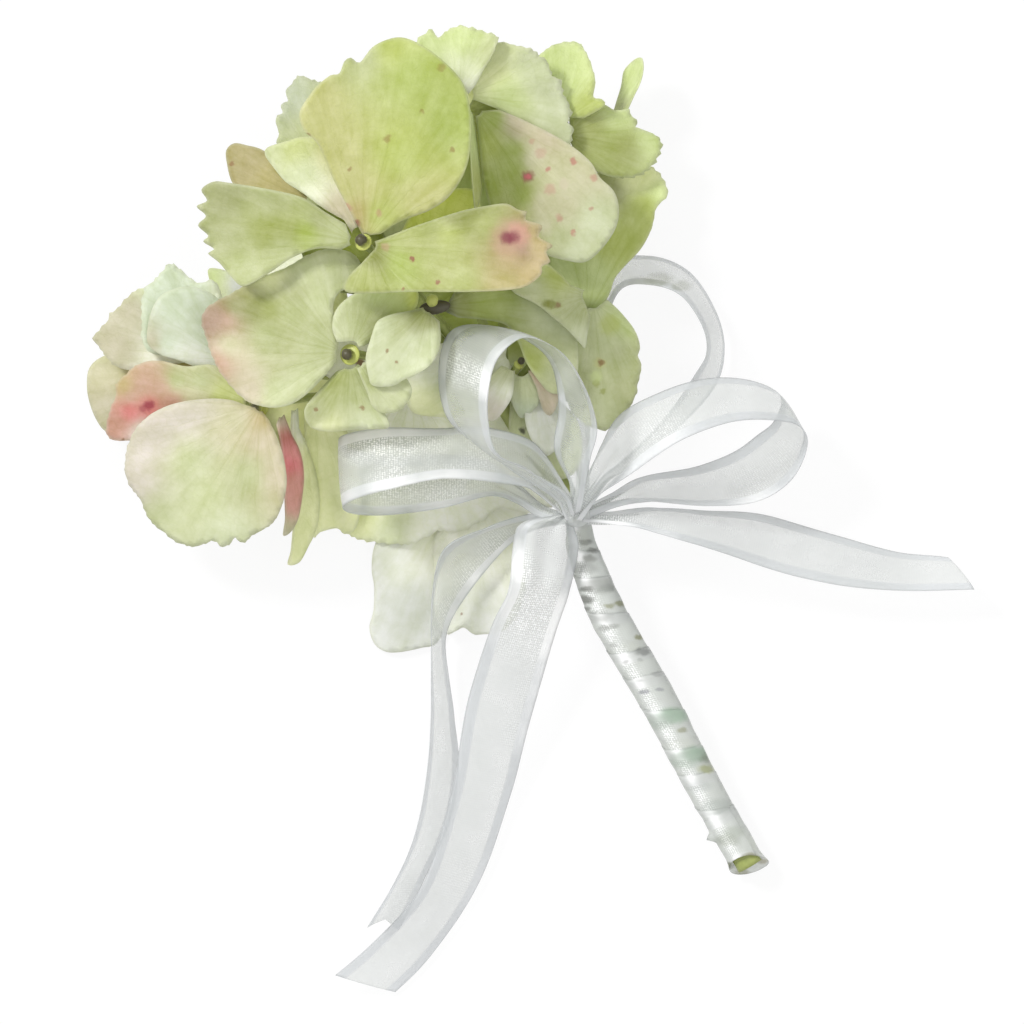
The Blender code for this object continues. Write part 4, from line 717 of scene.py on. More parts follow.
# ---- floret i: shaded sepals deep in the head, which close it between the others.
petal("i", 1, (-24.5, 39.0, 18.4), (-33.0, 51.5, 16.0),
      [(-29, 36.4), (-35, 38), (-39, 44), (-38, 50), (-33, 53), (-27, 50), (-23.4, 44)],
      [(-30, 44, MOSS), (-26, 42, DEEP_OLIVE)],
      arch=0.6)
# i2 and i3 are painted snow white and chalk lime: painted light on sepals deep in the head's shade.
petal("i", 2, (-20.5, 35.5, 13.8), (-33.0, 27.0, 12.8),
      [(-20, 29), (-25, 22.5), (-31, 21), (-37, 25), (-37, 31), (-31, 34.6), (-25, 35)],
      [(-30, 28, SNOW)],
      arch=0.6, freckles=((-29.1, 25.0, 0.9, RUST, 0.8),))
petal("i", 3, (-8.2, 67.2, 19.0), (-7.4, 78.0, 17.0),
      [(-12, 68), (-15, 72), (-13, 77), (-7.5, 79), (-2.6, 76.5), (-2.4, 71), (-5, 67.6)],
      [(-8, 73, CHALK_LIME)],
      arch=0.4)
# The near-black blotch on i4 is painted shade.
petal("i", 4, (-1.0, 22.8, 13.9), (5.6, 5.0, 13.6),
      [(-3.6, 18), (-3.4, 12.6), (0.6, 8.4), (4.4, 5.4), (7, 6), (8.6, 9), (8.0, 15), (3.6, 20)],
      [(2, 12, MILK), (0, 16, MILK)],
      arch=0.1, cup=0.2, freckles=((-1.5, 13.6, 0.6, SHADE_BLACK, 0.8),))

# ---- floret u: the sepals that the head rests on.
# The snow, frost and chalk touches on u1, u3 and u4 are painted light on sepals that lie deep in shade.
petal("u", 1, (-27.6, 31.0, 8.6), (-52.0, 46.0, 0.8),
      [(-36, 29), (-44, 30), (-51, 35), (-53.4, 36.4), (-54.9, 40.8), (-52.6, 41), (-50.2, 40.2), (-48.6, 42),
       (-48, 46), (-44, 49.6), (-38, 50), (-33, 44), (-31, 36)],
      [(-44, 40, SNOW), (-32, 37, CHALK_LIME), (-54, 39, PALE_LIME), (-52.6, 37.4, MILK), (-50.4, 38,
       LILAC_GREY)])
petal("u", 2, (-26.4, 32.0, 9.6), (-30.0, 67.0, 1.2),
      [(-31, 40), (-37, 50), (-40, 58), (-37, 65), (-30, 68), (-22, 66), (-18, 58), (-20, 48), (-25, 39)],
      [(-30, 55, MEADOW)])
petal("u", 3, (-24.4, 30.0, 6.2), (7.0, 54.0, 1.0),
      [(-21, 36), (-18, 44), (-14, 52), (-9, 59), (-2, 62.4), (5, 61.6), (9.4, 56), (10.4, 48), (10.2, 41),
       (8.6, 34), (5, 26), (-1.6, 22), (-9, 19.6), (-16.4, 21.6), (-21.6, 24.6)],
      [(-5, 50, MEADOW), (-14, 26, FROST), (-12, 33, LIME), (-6, 31.6, LIME), (2, 34, LIME), (-3, 24, IVORY),
       (-3, 28, SUN_LIME)],
      soften=1.0)
petal("u", 4, (-27.4, 29.0, 7.6), (-52.0, 7.0, 0.8),
      [(-32, 21), (-37, 14), (-44, 7), (-52, 4), (-56, 9), (-56, 16), (-50, 22), (-42, 26), (-36, 26)],
      [(-48, 14, SAGE), (-39.6, 17.4, CHALK_LIME), (-37, 20, CHALK_LIME)])

# ---- flower stem: one green shoot that forks below the head into ten stalks ----
# It is cut off square at the handle end, with olive skin finely streaked along it. Florets h, i and u have no stalk
# of their own. A side stalk runs under the upper right florets to the narrow sepal that stands apart from them.
STEM_STEP = 0.8
STALK_STEP = 0.6
STALK_RADIUS = 0.72
FORK_RADIUS = 1.1
STEM_PATH = [(37.4, -60.6, 3.6), (29.4, -47.0, 4.4), (21.8, -32.6, 6.0), (13.6, -18.0, 8.2),
             (9.0, -6.0, 10.0), (5.4, 3.6, 10.4), (-0.4, 12.0, 10.4), (-6.0, 20.0, 10.6)]
STEM_RADII = [2.2, 2.25, 2.25, 2.0, 1.7, 1.9, 1.9, 1.5]
NODE = (-5.0, 18.4, 10.5)
STALKS = {
    "a": [(-15.0, 31.0, 15.0), (-25.0, 42.0, 24.0), (-28.4, 45.4, 33.8)],
    "b": [(-18.0, 23.0, 14.6), (-28.0, 26.2, 21.0), (-30.7, 26.4, 27.8)],
    "k": [(-13.0, 26.6, 12.4), (-17.6, 32.0, 18.6), (-16.8, 35.2, 26.8)],
    "c": [(-22.0, 20.4, 14.4), (-36.0, 19.4, 15.6), (-45.0, 18.0, 18.0), (-46.2, 17.6, 20.8)],
    "l": [(-22.0, 21.8, 9.6), (-34.0, 22.8, 10.4), (-46.0, 24.6, 11.2), (-51.8, 25.6, 13.0)],
    "g": [(-21.0, 39.0, 11.4), (-30.0, 49.0, 11.8), (-36.6, 55.2, 17.0), (-36.3, 55.0, 23.6)],
    "d": [(-10.0, 40.0, 14.0), (-12.6, 56.0, 15.2), (-13.8, 68.6, 21.4)],
    "e": [(-4.0, 42.0, 11.4), (0.4, 56.0, 11.6), (5.0, 64.4, 14.8)],
    "f": [(0.0, 24.6, 11.6), (5.0, 31.0, 10.4), (9.0, 34.4, 11.6)],
    "n": [(-4.0, 21.6, 12.4), (-2.0, 24.8, 16.6)],
}
SIDE_STALK = [(0.4, 56.0, 11.6), (7.0, 60.6, 9.0), (13.4, 65.2, 7.2)]


def frames_along(centres, side=None):
    """Two crosswise directions at each centre, carried along the line without twisting."""
    frames = []
    for before, after in zip(centres[:1] + centres[:-1], centres[1:] + centres[-1:]):
        ahead = (after - before).normalized()
        side = ahead.orthogonal() if side is None else side - ahead * side.dot(ahead)
        side.normalize()
        frames.append((side.copy(), ahead.cross(side)))
    return frames


def pipe(shape, path, radii, sides, step, lumps=0.0):
    """A grid rolled round a smooth path and capped."""
    rows = rounded([(*p, r) for p, r in zip(path, radii)], step)
    centres = [Vector(row[:3]) for row in rows]
    frames = frames_along(centres)
    made = bmesh.ops.create_grid(shape, x_segments=sides, y_segments=len(rows) - 1, size=0.5)["verts"]
    for vert in made:
        i = round((vert.co.y + 0.5) * (len(rows) - 1))
        angle = 2 * math.pi * (vert.co.x + 0.5)
        out = frames[i][0] * math.cos(angle) + frames[i][1] * math.sin(angle)
        radius = rows[i][3] * (1 + lumps * noise.noise((centres[i] + out * 1.5) * 0.6))
        vert.co = (centres[i] + out * radius + ORIGIN_SHIFT) * MM
    bmesh.ops.remove_doubles(shape, verts=made, dist=1e-7)
    made = [vert for vert in made if vert.is_valid]
    rims = [edge for edge in {e for v in made for e in v.link_edges} if edge.is_boundary]
    bmesh.ops.holes_fill(shape, edges=rims, sides=0)


def gradient(tree, share, first_stop, first, last_stop, last):
    """Colour that runs from one tone to another between two stops."""
    made = add(tree, "ShaderNodeValToRGB", {"Fac": share})
    for stop, place, tone in zip(made.color_ramp.elements, (first_stop, last_stop), (first, last)):
        stop.position = place
        stop.color = paint(tone)
    return made.outputs[0]


def cover(tree, out, colour, height, strength, depth, roughness, metallic=0.0):
    """A solid surface with fine relief."""
    bump = add(tree, "ShaderNodeBump", {"Strength": strength, "Distance": depth, "Height": height})
    shell = add(tree, "ShaderNodeBsdfPrincipled", {"Base Color": colour, "Roughness": roughness,
                                                   "Metallic": metallic, "Normal": bump.outputs[0]})
    tree.links.new(shell.outputs[0], out.inputs["Surface"])


skin, tree, out = blank("stem_skin")
place = add(tree, "ShaderNodeTexCoord").outputs["Object"]
colour = gradient(tree, clouds(tree, place, 300, 4)["Fac"], 0.3, (118, 128, 62), 0.7, (168, 176, 104))
cover(tree, out, colour, clouds(tree, place, 1500)["Fac"], 0.4, 0.0002, 0.5)
shoot = bmesh.new()
pipe(shoot, STEM_PATH, STEM_RADII, 32, STEM_STEP, 0.05)
for stalk in STALKS.values():
    pipe(shoot, [NODE] + stalk, [FORK_RADIUS] + [STALK_RADIUS] * len(stalk), 14, STALK_STEP, 0.06)
pipe(shoot, SIDE_STALK, [STALK_RADIUS, 0.7, 0.6], 14, STALK_STEP, 0.06)
stem = finished(shoot, "stem_and_stalks", skin)
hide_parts("flower_stem")

# ---- buds: the true flower at the end of each stalk, a bead no bigger than a peppercorn ----
# Four tiny petals are folded shut over it, dark at the tip. It sits on a yellow-green collar that the claws grow from.
BUD_RADIUS = 1.05
SMALL_BUD = 0.6
RIPER = {"k": -0.6, "n": 0.5, "a": 0.3, "b": 0.2}
COLLARS = {"k": (2.7, 1.2), "n": (0.9, 0.9), "a": (1.5, 1.5)}
PLAIN_COLLAR = (1.8, 1.8)
# The collar under bud k is spread wide and painted dark olive brown: painted shade of the deep hollow round that bud.
# Bud a's collar is darkened a little.
DARK_COLLARS = {"k": 1.2, "a": 0.4}
bud_skin, tree, out = blank("bud_skin")
ripe = add(tree, "ShaderNodeAttribute", attribute_name="ripe").outputs["Fac"]
grain = clouds(tree, add(tree, "ShaderNodeTexCoord").outputs["Object"], 2400)["Fac"]
nudged = reckon(tree, "MULTIPLY_ADD", grain, 0.3, ripe)
colour = gradient(tree, nudged, 0.55, (172, 178, 92), 1.0, (70, 66, 42))
cover(tree, out, colour, grain, 0.4, 0.0001, 0.45)
for letter, stalk in STALKS.items():
    last = Vector(stalk[-1])
    ahead = (last - Vector(([NODE] + stalk)[-2])).normalized()
    turned = ahead.to_track_quat("Z", "Y")
    size = BUD_RADIUS * (SMALL_BUD if letter == "n" else 1.0)
    bud = bmesh.new()
    bmesh.ops.create_uvsphere(bud, u_segments=32, v_segments=20, radius=1.0)
    tip = bud.verts.layers.float.new("ripe")
    for vert in bud.verts:
        x, y, z = vert.co
        vert[tip] = 0.4 + 0.5 * z + RIPER.get(letter, 0.0)
        crease = 1 - 0.16 * (1 - abs(math.sin(2 * math.atan2(y, x)))) ** 3 * min(1.0, 1.2 - abs(z))
        shaped = Vector((x * crease, y * crease, z * 1.15)) * size
        vert.co = (last + ahead + turned @ shaped + ORIGIN_SHIFT) * MM
    wide, high = COLLARS.get(letter, PLAIN_COLLAR)
    for vert in bmesh.ops.create_uvsphere(bud, u_segments=32, v_segments=12, radius=1.0)["verts"]:
        vert[tip] = DARK_COLLARS.get(letter, 0.0)
        shaped = Vector((vert.co.x * wide, vert.co.y * high, vert.co.z * 0.45))
        if letter == "k":
            vert.co = (last + Vector((0.5, -0.8, -0.4)) + Matrix.Rotation(0.15, 3, "Z") @ shaped + ORIGIN_SHIFT) * MM
        else:
            vert.co = (last - ahead * 0.1 + turned @ shaped + ORIGIN_SHIFT) * MM
    # spheres are made facing outwards, and a recalculation can turn so small and flat a one inside out
    finished(bud, f"bud_{letter}", bud_skin, recalculate=False)

# ---- ribbon: sheer white organza half an inch wide, with a satin band woven along each edge ----
# The middle is an open weave that lets light and colour through and glitters; the bands are dense and shiny.
# Its glitter and shine are painted highlights laid on at given places, with painted shade where the cloth is in its own
# shade.
RIBBON_WIDTH = 12.7
SATIN_BAND = 2.1
HEM = 0.35
WARP_PITCH = 0.38
WEFT_PITCH = 0.42
ORGANZA_WALL = 0.1
WHITE = (255, 255, 255)
KNOT = Vector((6.6, -1.0, 17.6))
GATHER_REACH = 15
PLEATS = 2.25


def organza(name, veil=0.33, satin=0.58, tone=(218, 221, 219), bands=((207, 210, 210), (219, 222, 225)),
            hem=0.16, broken=0.0, marks=()):
    """Reads the cloth attribute: millimetres across the ribbon, along it, and its painted light: painted highlight
    above zero, painted shade below.
    """
    finish, tree, out = blank(name)
    cloth = add(tree, "ShaderNodeAttribute", attribute_name="cloth").outputs["Vector"]
    part = add(tree, "ShaderNodeSeparateXYZ", {0: cloth}).outputs
    painted_highlight = reckon(tree, "MAXIMUM", part["Z"], 0.0)
    painted_shade_mix = ramp(tree, part["Z"], 0.0, -1.0, 0.0, 0.6)
    off = reckon(tree, "ABSOLUTE", reckon(tree, "SUBTRACT", part["X"], RIBBON_WIDTH / 2))
    inner = RIBBON_WIDTH / 2 - SATIN_BAND
    band = ramp(tree, off, inner - 0.25, inner + 0.25, kind="SMOOTHSTEP")
    # the open weave, its specks of painted highlight and how much of what is behind it shows
    warp = reckon(tree, "SINE", reckon(tree, "MULTIPLY", part["X"], 2 * math.pi / WARP_PITCH))
    weft = reckon(tree, "SINE", reckon(tree, "MULTIPLY", part["Y"], 2 * math.pi / WEFT_PITCH))
    threads = ramp(tree, reckon(tree, "ADD", warp, weft), -2.0, 2.0)
    specks = clouds(tree, cloth, 2.6, 2, 0.7)["Fac"]
    speck = ramp(tree, reckon(tree, "MULTIPLY_ADD", threads, 0.3, specks), 0.62, 0.8)
    painted_sparkle = reckon(tree, "MULTIPLY", reckon(tree, "MULTIPLY_ADD", speck, 0.8, 0.2), painted_highlight)
    drifts = clouds(tree, cloth, 0.16, 2)["Fac"]
    haze = ramp(tree, drifts, 0.3, 0.7, veil - 0.05, veil + 0.05)
    alpha = reckon(tree, "MULTIPLY_ADD", painted_sparkle, 0.6, reckon(tree, "MULTIPLY_ADD", threads, 0.03, haze))
    streaks = clouds(tree, vectors(tree, "MULTIPLY", cloth, (5.0, 0.25, 0.0)), 1.0)["Fac"]
    dense = reckon(tree, "MULTIPLY_ADD", painted_highlight, 0.3, satin)
    alpha = add(tree, "ShaderNodeMix", {0: band, 2: alpha, 3: dense}, data_type="FLOAT").outputs[0]
    # the satin bands with their painted shine, the hem along their edge, and painted shade where the cloth lies in its
    # own shade
    painted_shine = reckon(tree, "MULTIPLY_ADD", streaks, 0.5, 0.75)
    painted_shine = reckon(tree, "MULTIPLY", painted_shine, painted_highlight, use_clamp=True)
    selvage = blend(tree, streaks, paint(bands[0]), paint(bands[1]))
    selvage = blend(tree, painted_shine, selvage, paint(WHITE))
    white = blend(tree, band, blend(tree, painted_sparkle, paint(tone), paint(WHITE)), selvage)
    edge = ramp(tree, off, RIBBON_WIDTH / 2 - HEM, RIBBON_WIDTH / 2 - 0.1, 0.0, hem)
    edge = reckon(tree, "MULTIPLY", edge, ramp(tree, drifts, 0.44, 0.58, 1 - broken, 1.0))
    white = blend(tree, edge, white, paint((120, 124, 120)))
    white = blend(tree, painted_shade_mix, white, paint((184, 188, 186)))
    if marks:
        place = add(tree, "ShaderNodeTexCoord").outputs["Object"]
        white = blotched(tree, white, place, marks, 800, 0.001, 0.5)
    fine = add(tree, "ShaderNodeMix", {0: band, 2: specks, 3: streaks}, data_type="FLOAT").outputs[0]
    height = reckon(tree, "MULTIPLY_ADD", threads, 0.5, fine)
    bump = add(tree, "ShaderNodeBump", {"Strength": 0.4, "Distance": 0.0001, "Height": height})
    rough = add(tree, "ShaderNodeMix", {0: band, 2: 0.45, 3: 0.38}, data_type="FLOAT").outputs[0]
    fibre = add(tree, "ShaderNodeBsdfPrincipled", {"Base Color": white, "Roughness": rough, "Specular IOR Level": 0.5,
                                                   "Normal": bump.outputs[0]})
    glow = add(tree, "ShaderNodeBsdfTranslucent", {"Color": white})
    clear = add(tree, "ShaderNodeBsdfTransparent")
    seen = joined(tree, alpha, clear, joined(tree, 0.3, fibre, glow))
    tree.links.new(seen.outputs[0], out.inputs["Surface"])
    return finish


def runs_along(centres):
    """How far along a line each of its points is."""
    runs = [0.0]
    for one, two in zip(centres, centres[1:]):
        runs.append(runs[-1] + (two - one).length)
    return runs


def cloth_piece(shape, name, finish, cloth, node):
    """Finishes a piece of ribbon: gives the weave its place, and hides the part of model.glb that it replaces."""
    piece = finished(shape, name, finish, cloth=cloth)
    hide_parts(node)
    return piece


bow_organza = organza("bow_organza")
# The back loop lies against green sepals; its olive patches are painted green shade from them.
sepal_shaded_organza = organza("sepal_shaded_organza", marks=(
    (21.8, 39.3, 1.3, (110, 118, 78), 0.7), (25.6, 38.2, 1.0, (120, 128, 92), 0.6),
    (18.6, 38.6, 1.2, (116, 124, 84), 0.5)))


def ribbon(name, keys, painted_lights, seed, flip=1, notch=0.0, finish=bow_organza):
    """Rows of keys: edge a x, y; edge b x, y; middle z; width. Edge a is the higher one unless flip is -1.
    Painted lights are x, y, reach and strength of painted highlights, below zero for painted shade."""
    rows = rounded(keys, 0.75)
    mids = [Vector(((r[0] + r[2]) / 2, (r[1] + r[3]) / 2, r[4])) for r in rows]
    runs = runs_along(mids)
    shape = bmesh.new()
    bmesh.ops.create_grid(shape, x_segments=20, y_segments=len(rows) - 1, size=0.5)
    cloth = []
    for vert in shape.verts:
        u = vert.co.x + 0.5
        i = round((vert.co.y + 0.5) * (len(rows) - 1))
        ax, ay, bx, by, mid, width = rows[i]
        rise = flip * math.sqrt(max(width * width - math.hypot(bx - ax, by - ay) ** 2, 0.0)) / 2
        across = Vector((bx - ax, by - ay, -2 * rise))
        ahead = mids[min(i + 1, len(rows) - 1)] - mids[max(i - 1, 0)]
        normal = ahead.cross(across).normalized()
        to_knot = (mids[i] - KNOT).length
        near = max(0.0, 1 - to_knot / GATHER_REACH)
        lift = 0.4 * (1 - (2 * u - 1) ** 2) * (1 - near)
        lift += 0.35 * (1 - near) * noise.noise(Vector((runs[i] * 0.09, u * 1.2, seed)))
        lift += 0.95 * near ** 0.7 * math.sin(2 * math.pi * PLEATS * u + seed) * min(1.0, width / 4)
        pull = notch * (1 - abs(2 * u - 1)) * max(0.0, 1 - (runs[-1] - runs[i]) / 6)
        point = mids[i] + across * (u - 0.5) + normal * lift - ahead.normalized() * pull
        vert.co = (point + ORIGIN_SHIFT) * MM
        painted_light_level = sum(strength * max(0.0, 1 - math.hypot(point.x - x, point.y - y) / reach) ** 0.7
                  for x, y, reach, strength in painted_lights)
        # painted highlight round the knot, lifting its tight pleats out of their own shade
        painted_light_level += 0.7 * max(0.0, 1 - to_knot / 8)
        cloth.append((u * RIBBON_WIDTH, runs[i] + seed * 10, max(-1.0, min(1.0, painted_light_level))))
    node = name.replace("organza", "ribbon").replace("ribbon_loop", "bow_loop")
    piece = cloth_piece(shape, name, finish, cloth, node)
    thicken(piece, ORGANZA_WALL)


W = RIBBON_WIDTH
# In each ribbon the list after the keys places its painted highlights, and below zero its painted shade.
ribbon("organza_loop_left", [
    (7.2, -0.4, 6.0, -1.8, 16.6, 3.0), (6.6, 2.2, 5.2, -1.2, 16.8, 4.2), (5.0, 5.2, 3.4, 0.4, 17.4, 5.4),
    (2.4, 9.4, 0.6, 2.8, 18.4, 7.2), (-1.0, 12.4, -1.4, 3.9, 18.8, 9.2), (-8.0, 14.2, -7.0, 4.8, 19.6, 11.6),
    (-15.0, 13.9, -15.5, 5.2, 21.4, W), (-24.0, 14.0, -24.0, 3.6, 22.0, W), (-30.5, 13.2, -29.5, 2.0, 20.6, W),
    (-32.8, 12.0, -32.0, 0.6, 17.0, W), (-30.5, 10.4, -30.2, -0.6, 14.0, W), (-24.0, 9.4, -24.0, -0.8, 13.2, W),
    (-15.0, 9.4, -15.0, 0.4, 13.0, W), (-7.0, 8.2, -7.0, 2.4, 13.4, 9.0), (-1.6, 4.2, -2.2, 1.4, 14.0, 6.0),
    (2.4, 0.8, 1.8, -0.8, 14.2, 3.6), (6.4, -0.8, 5.8, -1.6, 15.6, 2.6)], [
    (-28.9, 12.4, 5.4, 1.0), (-23.4, 12.6, 5.0, 0.9), (-23.0, 8.4, 4.4, 0.3), (-23.8, 3.9, 5.0, 0.8),
    (-15.5, 2.6, 6.0, 0.9), (-31.0, 2.6, 3.0, 0.4), (-17.4, 12.6, 5.0, 0.7), (-10.0, 6.0, 5.0, 0.5),
    (-8.0, 12.0, 5.0, 0.3)],
    seed=0.3, flip=-1)
ribbon("organza_loop_upper", [
    (7.6, -0.6, 6.4, -1.4, 19.0, 3.0), (5.8, 2.9, 4.4, 2.3, 22.4, 5.0), (0.0, 6.8, -2.6, 6.6, 25.4, 8.0),
    (-5.6, 9.4, -9.4, 11.2, 27.4, 10.6), (-7.3, 15.0, -14.4, 16.0, 28.2, W), (-7.1, 20.6, -15.6, 23.6, 28.2, W),
    (-5.4, 26.0, -13.6, 30.2, 28.0, W), (-1.0, 29.2, -7.8, 31.4, 28.0, W), (4.9, 27.0, -0.6, 28.6, 28.0, W),
    (8.4, 22.0, 3.6, 24.6, 27.6, W), (11.2, 14.0, 4.8, 17.4, 27.0, W), (9.8, 7.8, 3.8, 10.4, 25.6, 10.4),
    (8.6, 3.4, 6.4, 4.2, 22.8, 5.4), (7.8, -0.4, 6.8, -1.0, 19.0, 3.0)], [
    (-11.4, 24.0, 4.0, 0.7), (-7.4, 21.6, 3.4, 0.9), (-5.6, 26.4, 3.0, 0.5), (-11.0, 31.0, 4.0, -0.5),
    (-14.8, 25.5, 3.0, 0.3), (6.4, 22.0, 2.4, 0.3), (7.2, 17.0, 6.0, -0.7), (5.4, 21.0, 3.0, -0.3),
    (8.0, 10.0, 5.0, -0.7), (-8.6, 28.6, 4.0, -0.4)],
    seed=1.1)
ribbon("organza_loop_right", [
    (8.2, -1.8, 7.0, -0.2, 18.0, 3.2), (11.4, 2.0, 9.4, 5.4, 19.4, 6.0), (15.8, 5.2, 11.8, 11.2, 20.8, 10.0),
    (21.0, 9.0, 15.6, 16.6, 22.0, W), (27.0, 12.6, 23.6, 20.6, 22.6, W), (33.5, 14.8, 31.0, 22.5, 21.6, W),
    (40.1, 15.3, 37.6, 22.2, 18.6, W), (45.2, 14.6, 42.4, 19.4, 14.6, W), (47.0, 11.4, 41.4, 15.2, 11.4, W),
    (44.4, 5.4, 38.8, 12.8, 9.6, W), (38.6, 1.6, 34.8, 9.9, 8.8, W), (30.0, 0.6, 28.4, 7.6, 9.2, W),
    (20.5, 1.4, 19.0, 5.6, 11.4, 9.6), (14.2, 0.8, 13.6, 2.6, 13.8, 5.0), (8.6, -1.4, 8.0, -0.4, 16.0, 2.6)], [
    (22.3, 12.6, 6.0, 0.6), (17.6, 7.4, 4.0, 0.4), (37.6, 3.4, 5.0, 0.9), (43.0, 8.4, 3.4, 0.5),
    (31.6, 18.4, 5.0, -0.6), (41.0, 18.0, 5.0, -0.5), (28.6, 4.6, 6.0, -0.4)],
    seed=2.2)
ribbon("organza_loop_back", [
    (9.0, 0.6, 8.0, 0.6, 14.4, 3.0), (9.6, 4.4, 8.4, 4.4, 11.4, 4.0), (9.8, 10.0, 7.4, 10.6, 7.8, 9.0),
    (10.6, 20.0, 7.6, 21.0, 6.6, 11.0), (12.2, 30.0, 9.0, 31.6, 6.6, 11.0), (15.2, 37.4, 13.0, 41.6, 6.8, 12.0),
    (20.4, 38.4, 20.0, 43.2, 7.0, W), (25.6, 36.6, 27.0, 40.6, 7.2, W), (29.0, 31.6, 31.4, 34.0, 7.2, W),
    (29.8, 27.0, 33.0, 27.2, 7.2, W), (28.0, 23.4, 31.4, 20.8, 7.0, 12.0), (23.0, 16.0, 24.8, 13.6, 6.6, 9.0),
    (15.8, 8.8, 17.0, 7.2, 7.4, 6.0), (12.2, 5.6, 12.8, 4.6, 8.6, 3.6), (9.4, 1.2, 9.8, 0.4, 13.6, 2.8)], [
    (30.4, 30.0, 9.0, -0.7), (22.0, 39.0, 7.0, -0.5), (11.0, 24.0, 8.0, -0.5)],
    seed=3.4, finish=sepal_shaded_organza)
ribbon("organza_tail_front", [
    (5.0, -0.6, 7.4, -1.0, 17.0, 3.0), (1.6, -1.4, 7.2, -1.8, 18.2, 6.4), (-1.8, -2.8, 7.6, -3.4, 18.4, 10.2),
    (-2.8, -5.8, 8.2, -6.8, 17.4, 11.8), (-3.7, -12.9, 6.7, -13.8, 15.4, W), (-6.6, -19.6, 4.0, -21.6, 13.4, W),
    (-10.5, -31.6, 0.4, -34.0, 9.8, W), (-13.3, -46.6, -3.4, -48.0, 6.4, W), (-15.8, -57.0, -7.2, -59.6, 5.4, 12.0),
    (-19.7, -65.6, -11.4, -68.0, 4.8, 11.6), (-26.7, -73.6, -17.4, -76.4, 3.8, 11.4),
    (-33.3, -79.2, -23.1, -82.1, 2.2, 11.2)], [
    (3.8, -6.0, 6.0, -1.0), (-1.4, -8.6, 4.0, 0.8), (0.6, -13.6, 7.6, 0.9), (-1.4, -20.4, 6.6, 0.9),
    (5.4, -18.0, 5.0, 0.9), (3.4, -24.4, 5.0, 0.8), (1.4, -31.0, 5.0, 0.7), (-0.6, -38.0, 5.0, 0.6),
    (-10.4, -62.9, 6.0, 0.3)],
    seed=4.1)
ribbon("organza_tail_back", [
    (6.4, -2.0, 5.4, -0.6, 14.2, 2.6), (1.2, -3.0, -0.4, -1.0, 11.0, 4.0), (-4.0, -6.0, -7.0, -2.8, 10.6, 7.0),
    (-10.0, -13.3, -14.6, -6.4, 9.6, 11.0), (-13.8, -19.6, -16.6, -14.4, 9.6, W),
    (-14.6, -25.0, -17.0, -24.0, 8.4, W), (-12.9, -35.2, -17.0, -35.0, 6.8, W), (-12.4, -44.0, -17.6, -44.6, 6.6, W),
    (-14.4, -55.0, -19.9, -55.8, 6.4, W), (-18.6, -64.0, -23.6, -64.2, 6.3, W), (-22.6, -71.6, -27.7, -71.0, 6.2, W)], [
    (-5.3, -6.5, 4.4, 0.9), (-9.5, -11.9, 4.4, 0.9), (-13.0, -17.6, 4.4, 0.7), (-21.0, -66.4, 5.0, 0.3)],
    seed=5.7, flip=-1, notch=1.6)
ribbon("organza_tail_right", [
    (8.6, -2.2, 8.8, -0.8, 16.4, 3.0), (12.6, -2.4, 13.2, -0.8, 15.4, 4.6), (19.2, -3.2, 20.0, 0.2, 14.4, 8.0),
    (27.9, -5.8, 29.0, 0.0, 11.6, 11.0), (38.3, -9.2, 40.0, -0.8, 8.0, 12.0), (50.3, -12.4, 52.0, -4.4, 5.6, 12.0),
    (61.0, -13.6, 62.6, -7.0, 4.6, 11.0), (75.5, -13.6, 71.2, -8.2, 3.8, 10.0)], [
    (14.6, -2.0, 4.4, 1.0), (22.0, -5.0, 4.0, 0.5), (34.0, -4.0, 9.0, -0.7), (46.0, -7.0, 9.0, -0.6),
    (58.0, -9.6, 10.0, -0.8)],
    seed=6.6)

# ---- knot: the ribbon's own turn over the crossing, pulled tight into a few soft pleats ----
# It is several layers thick, so it is denser and whiter than the loops.
knot = bmesh.new()
bmesh.ops.create_uvsphere(knot, u_segments=64, v_segments=40, radius=1.0)
weave = []
for vert in knot.verts:
    x, y, z = vert.co
    weave.append(((math.atan2(x, z) / math.pi + 1) * RIBBON_WIDTH / 2, y * 3.0, 0.0))
    pleat = 1 + 0.1 * math.sin(7 * math.atan2(x, z)) * (1 - y * y) + 0.08 * noise.noise(Vector((x, y, z)) * 2.5)
    vert.co = (Vector((x * 2.5 * pleat + 7.6, y * 1.9 - 1.0, z * 2.6 * pleat + 16.0)) + ORIGIN_SHIFT) * MM
cloth_piece(knot, "organza_knot", organza("knot_organza", 0.6, 0.7, (228, 231, 229)), weave, "bow_knot")

# ---- handle: the same ribbon wound up the stem in a spiral, each turn lapping over the last ----
# The first turn makes a flared mouth, cut back on top, and the last runs up to the knot. It is creased at the
# neck, and the green stem shows through where the lap is thin.
WRAP_PATH = [(37.7, -62.5, 3.6), (35.6, -57.8, 3.72), (29.4, -47.0, 4.4), (21.8, -32.6, 6.0),
             (13.3, -18.0, 8.2), (9.1, -7.6, 9.76), (8.2, -3.2, 10.8), (7.8, -0.8, 12.8)]
WRAP_RADII = [4.0, 3.0, 3.0, 3.2, 3.2, 2.7, 2.2, 1.9]
TURN = 6.4
LAP = 0.1
SLANT = 0.98
MOUTH_TOP_CUT = 1.7
MOUTH_SIDE_CUT = 0.6
PAINTED_HIGHLIGHT_SIDE = -0.42
PAINTED_HIGHLIGHT_WIDTH = 0.32
GREY = (150, 152, 146)
OLIVE_GREY = (158, 160, 116)
LILAC = (158, 159, 166)
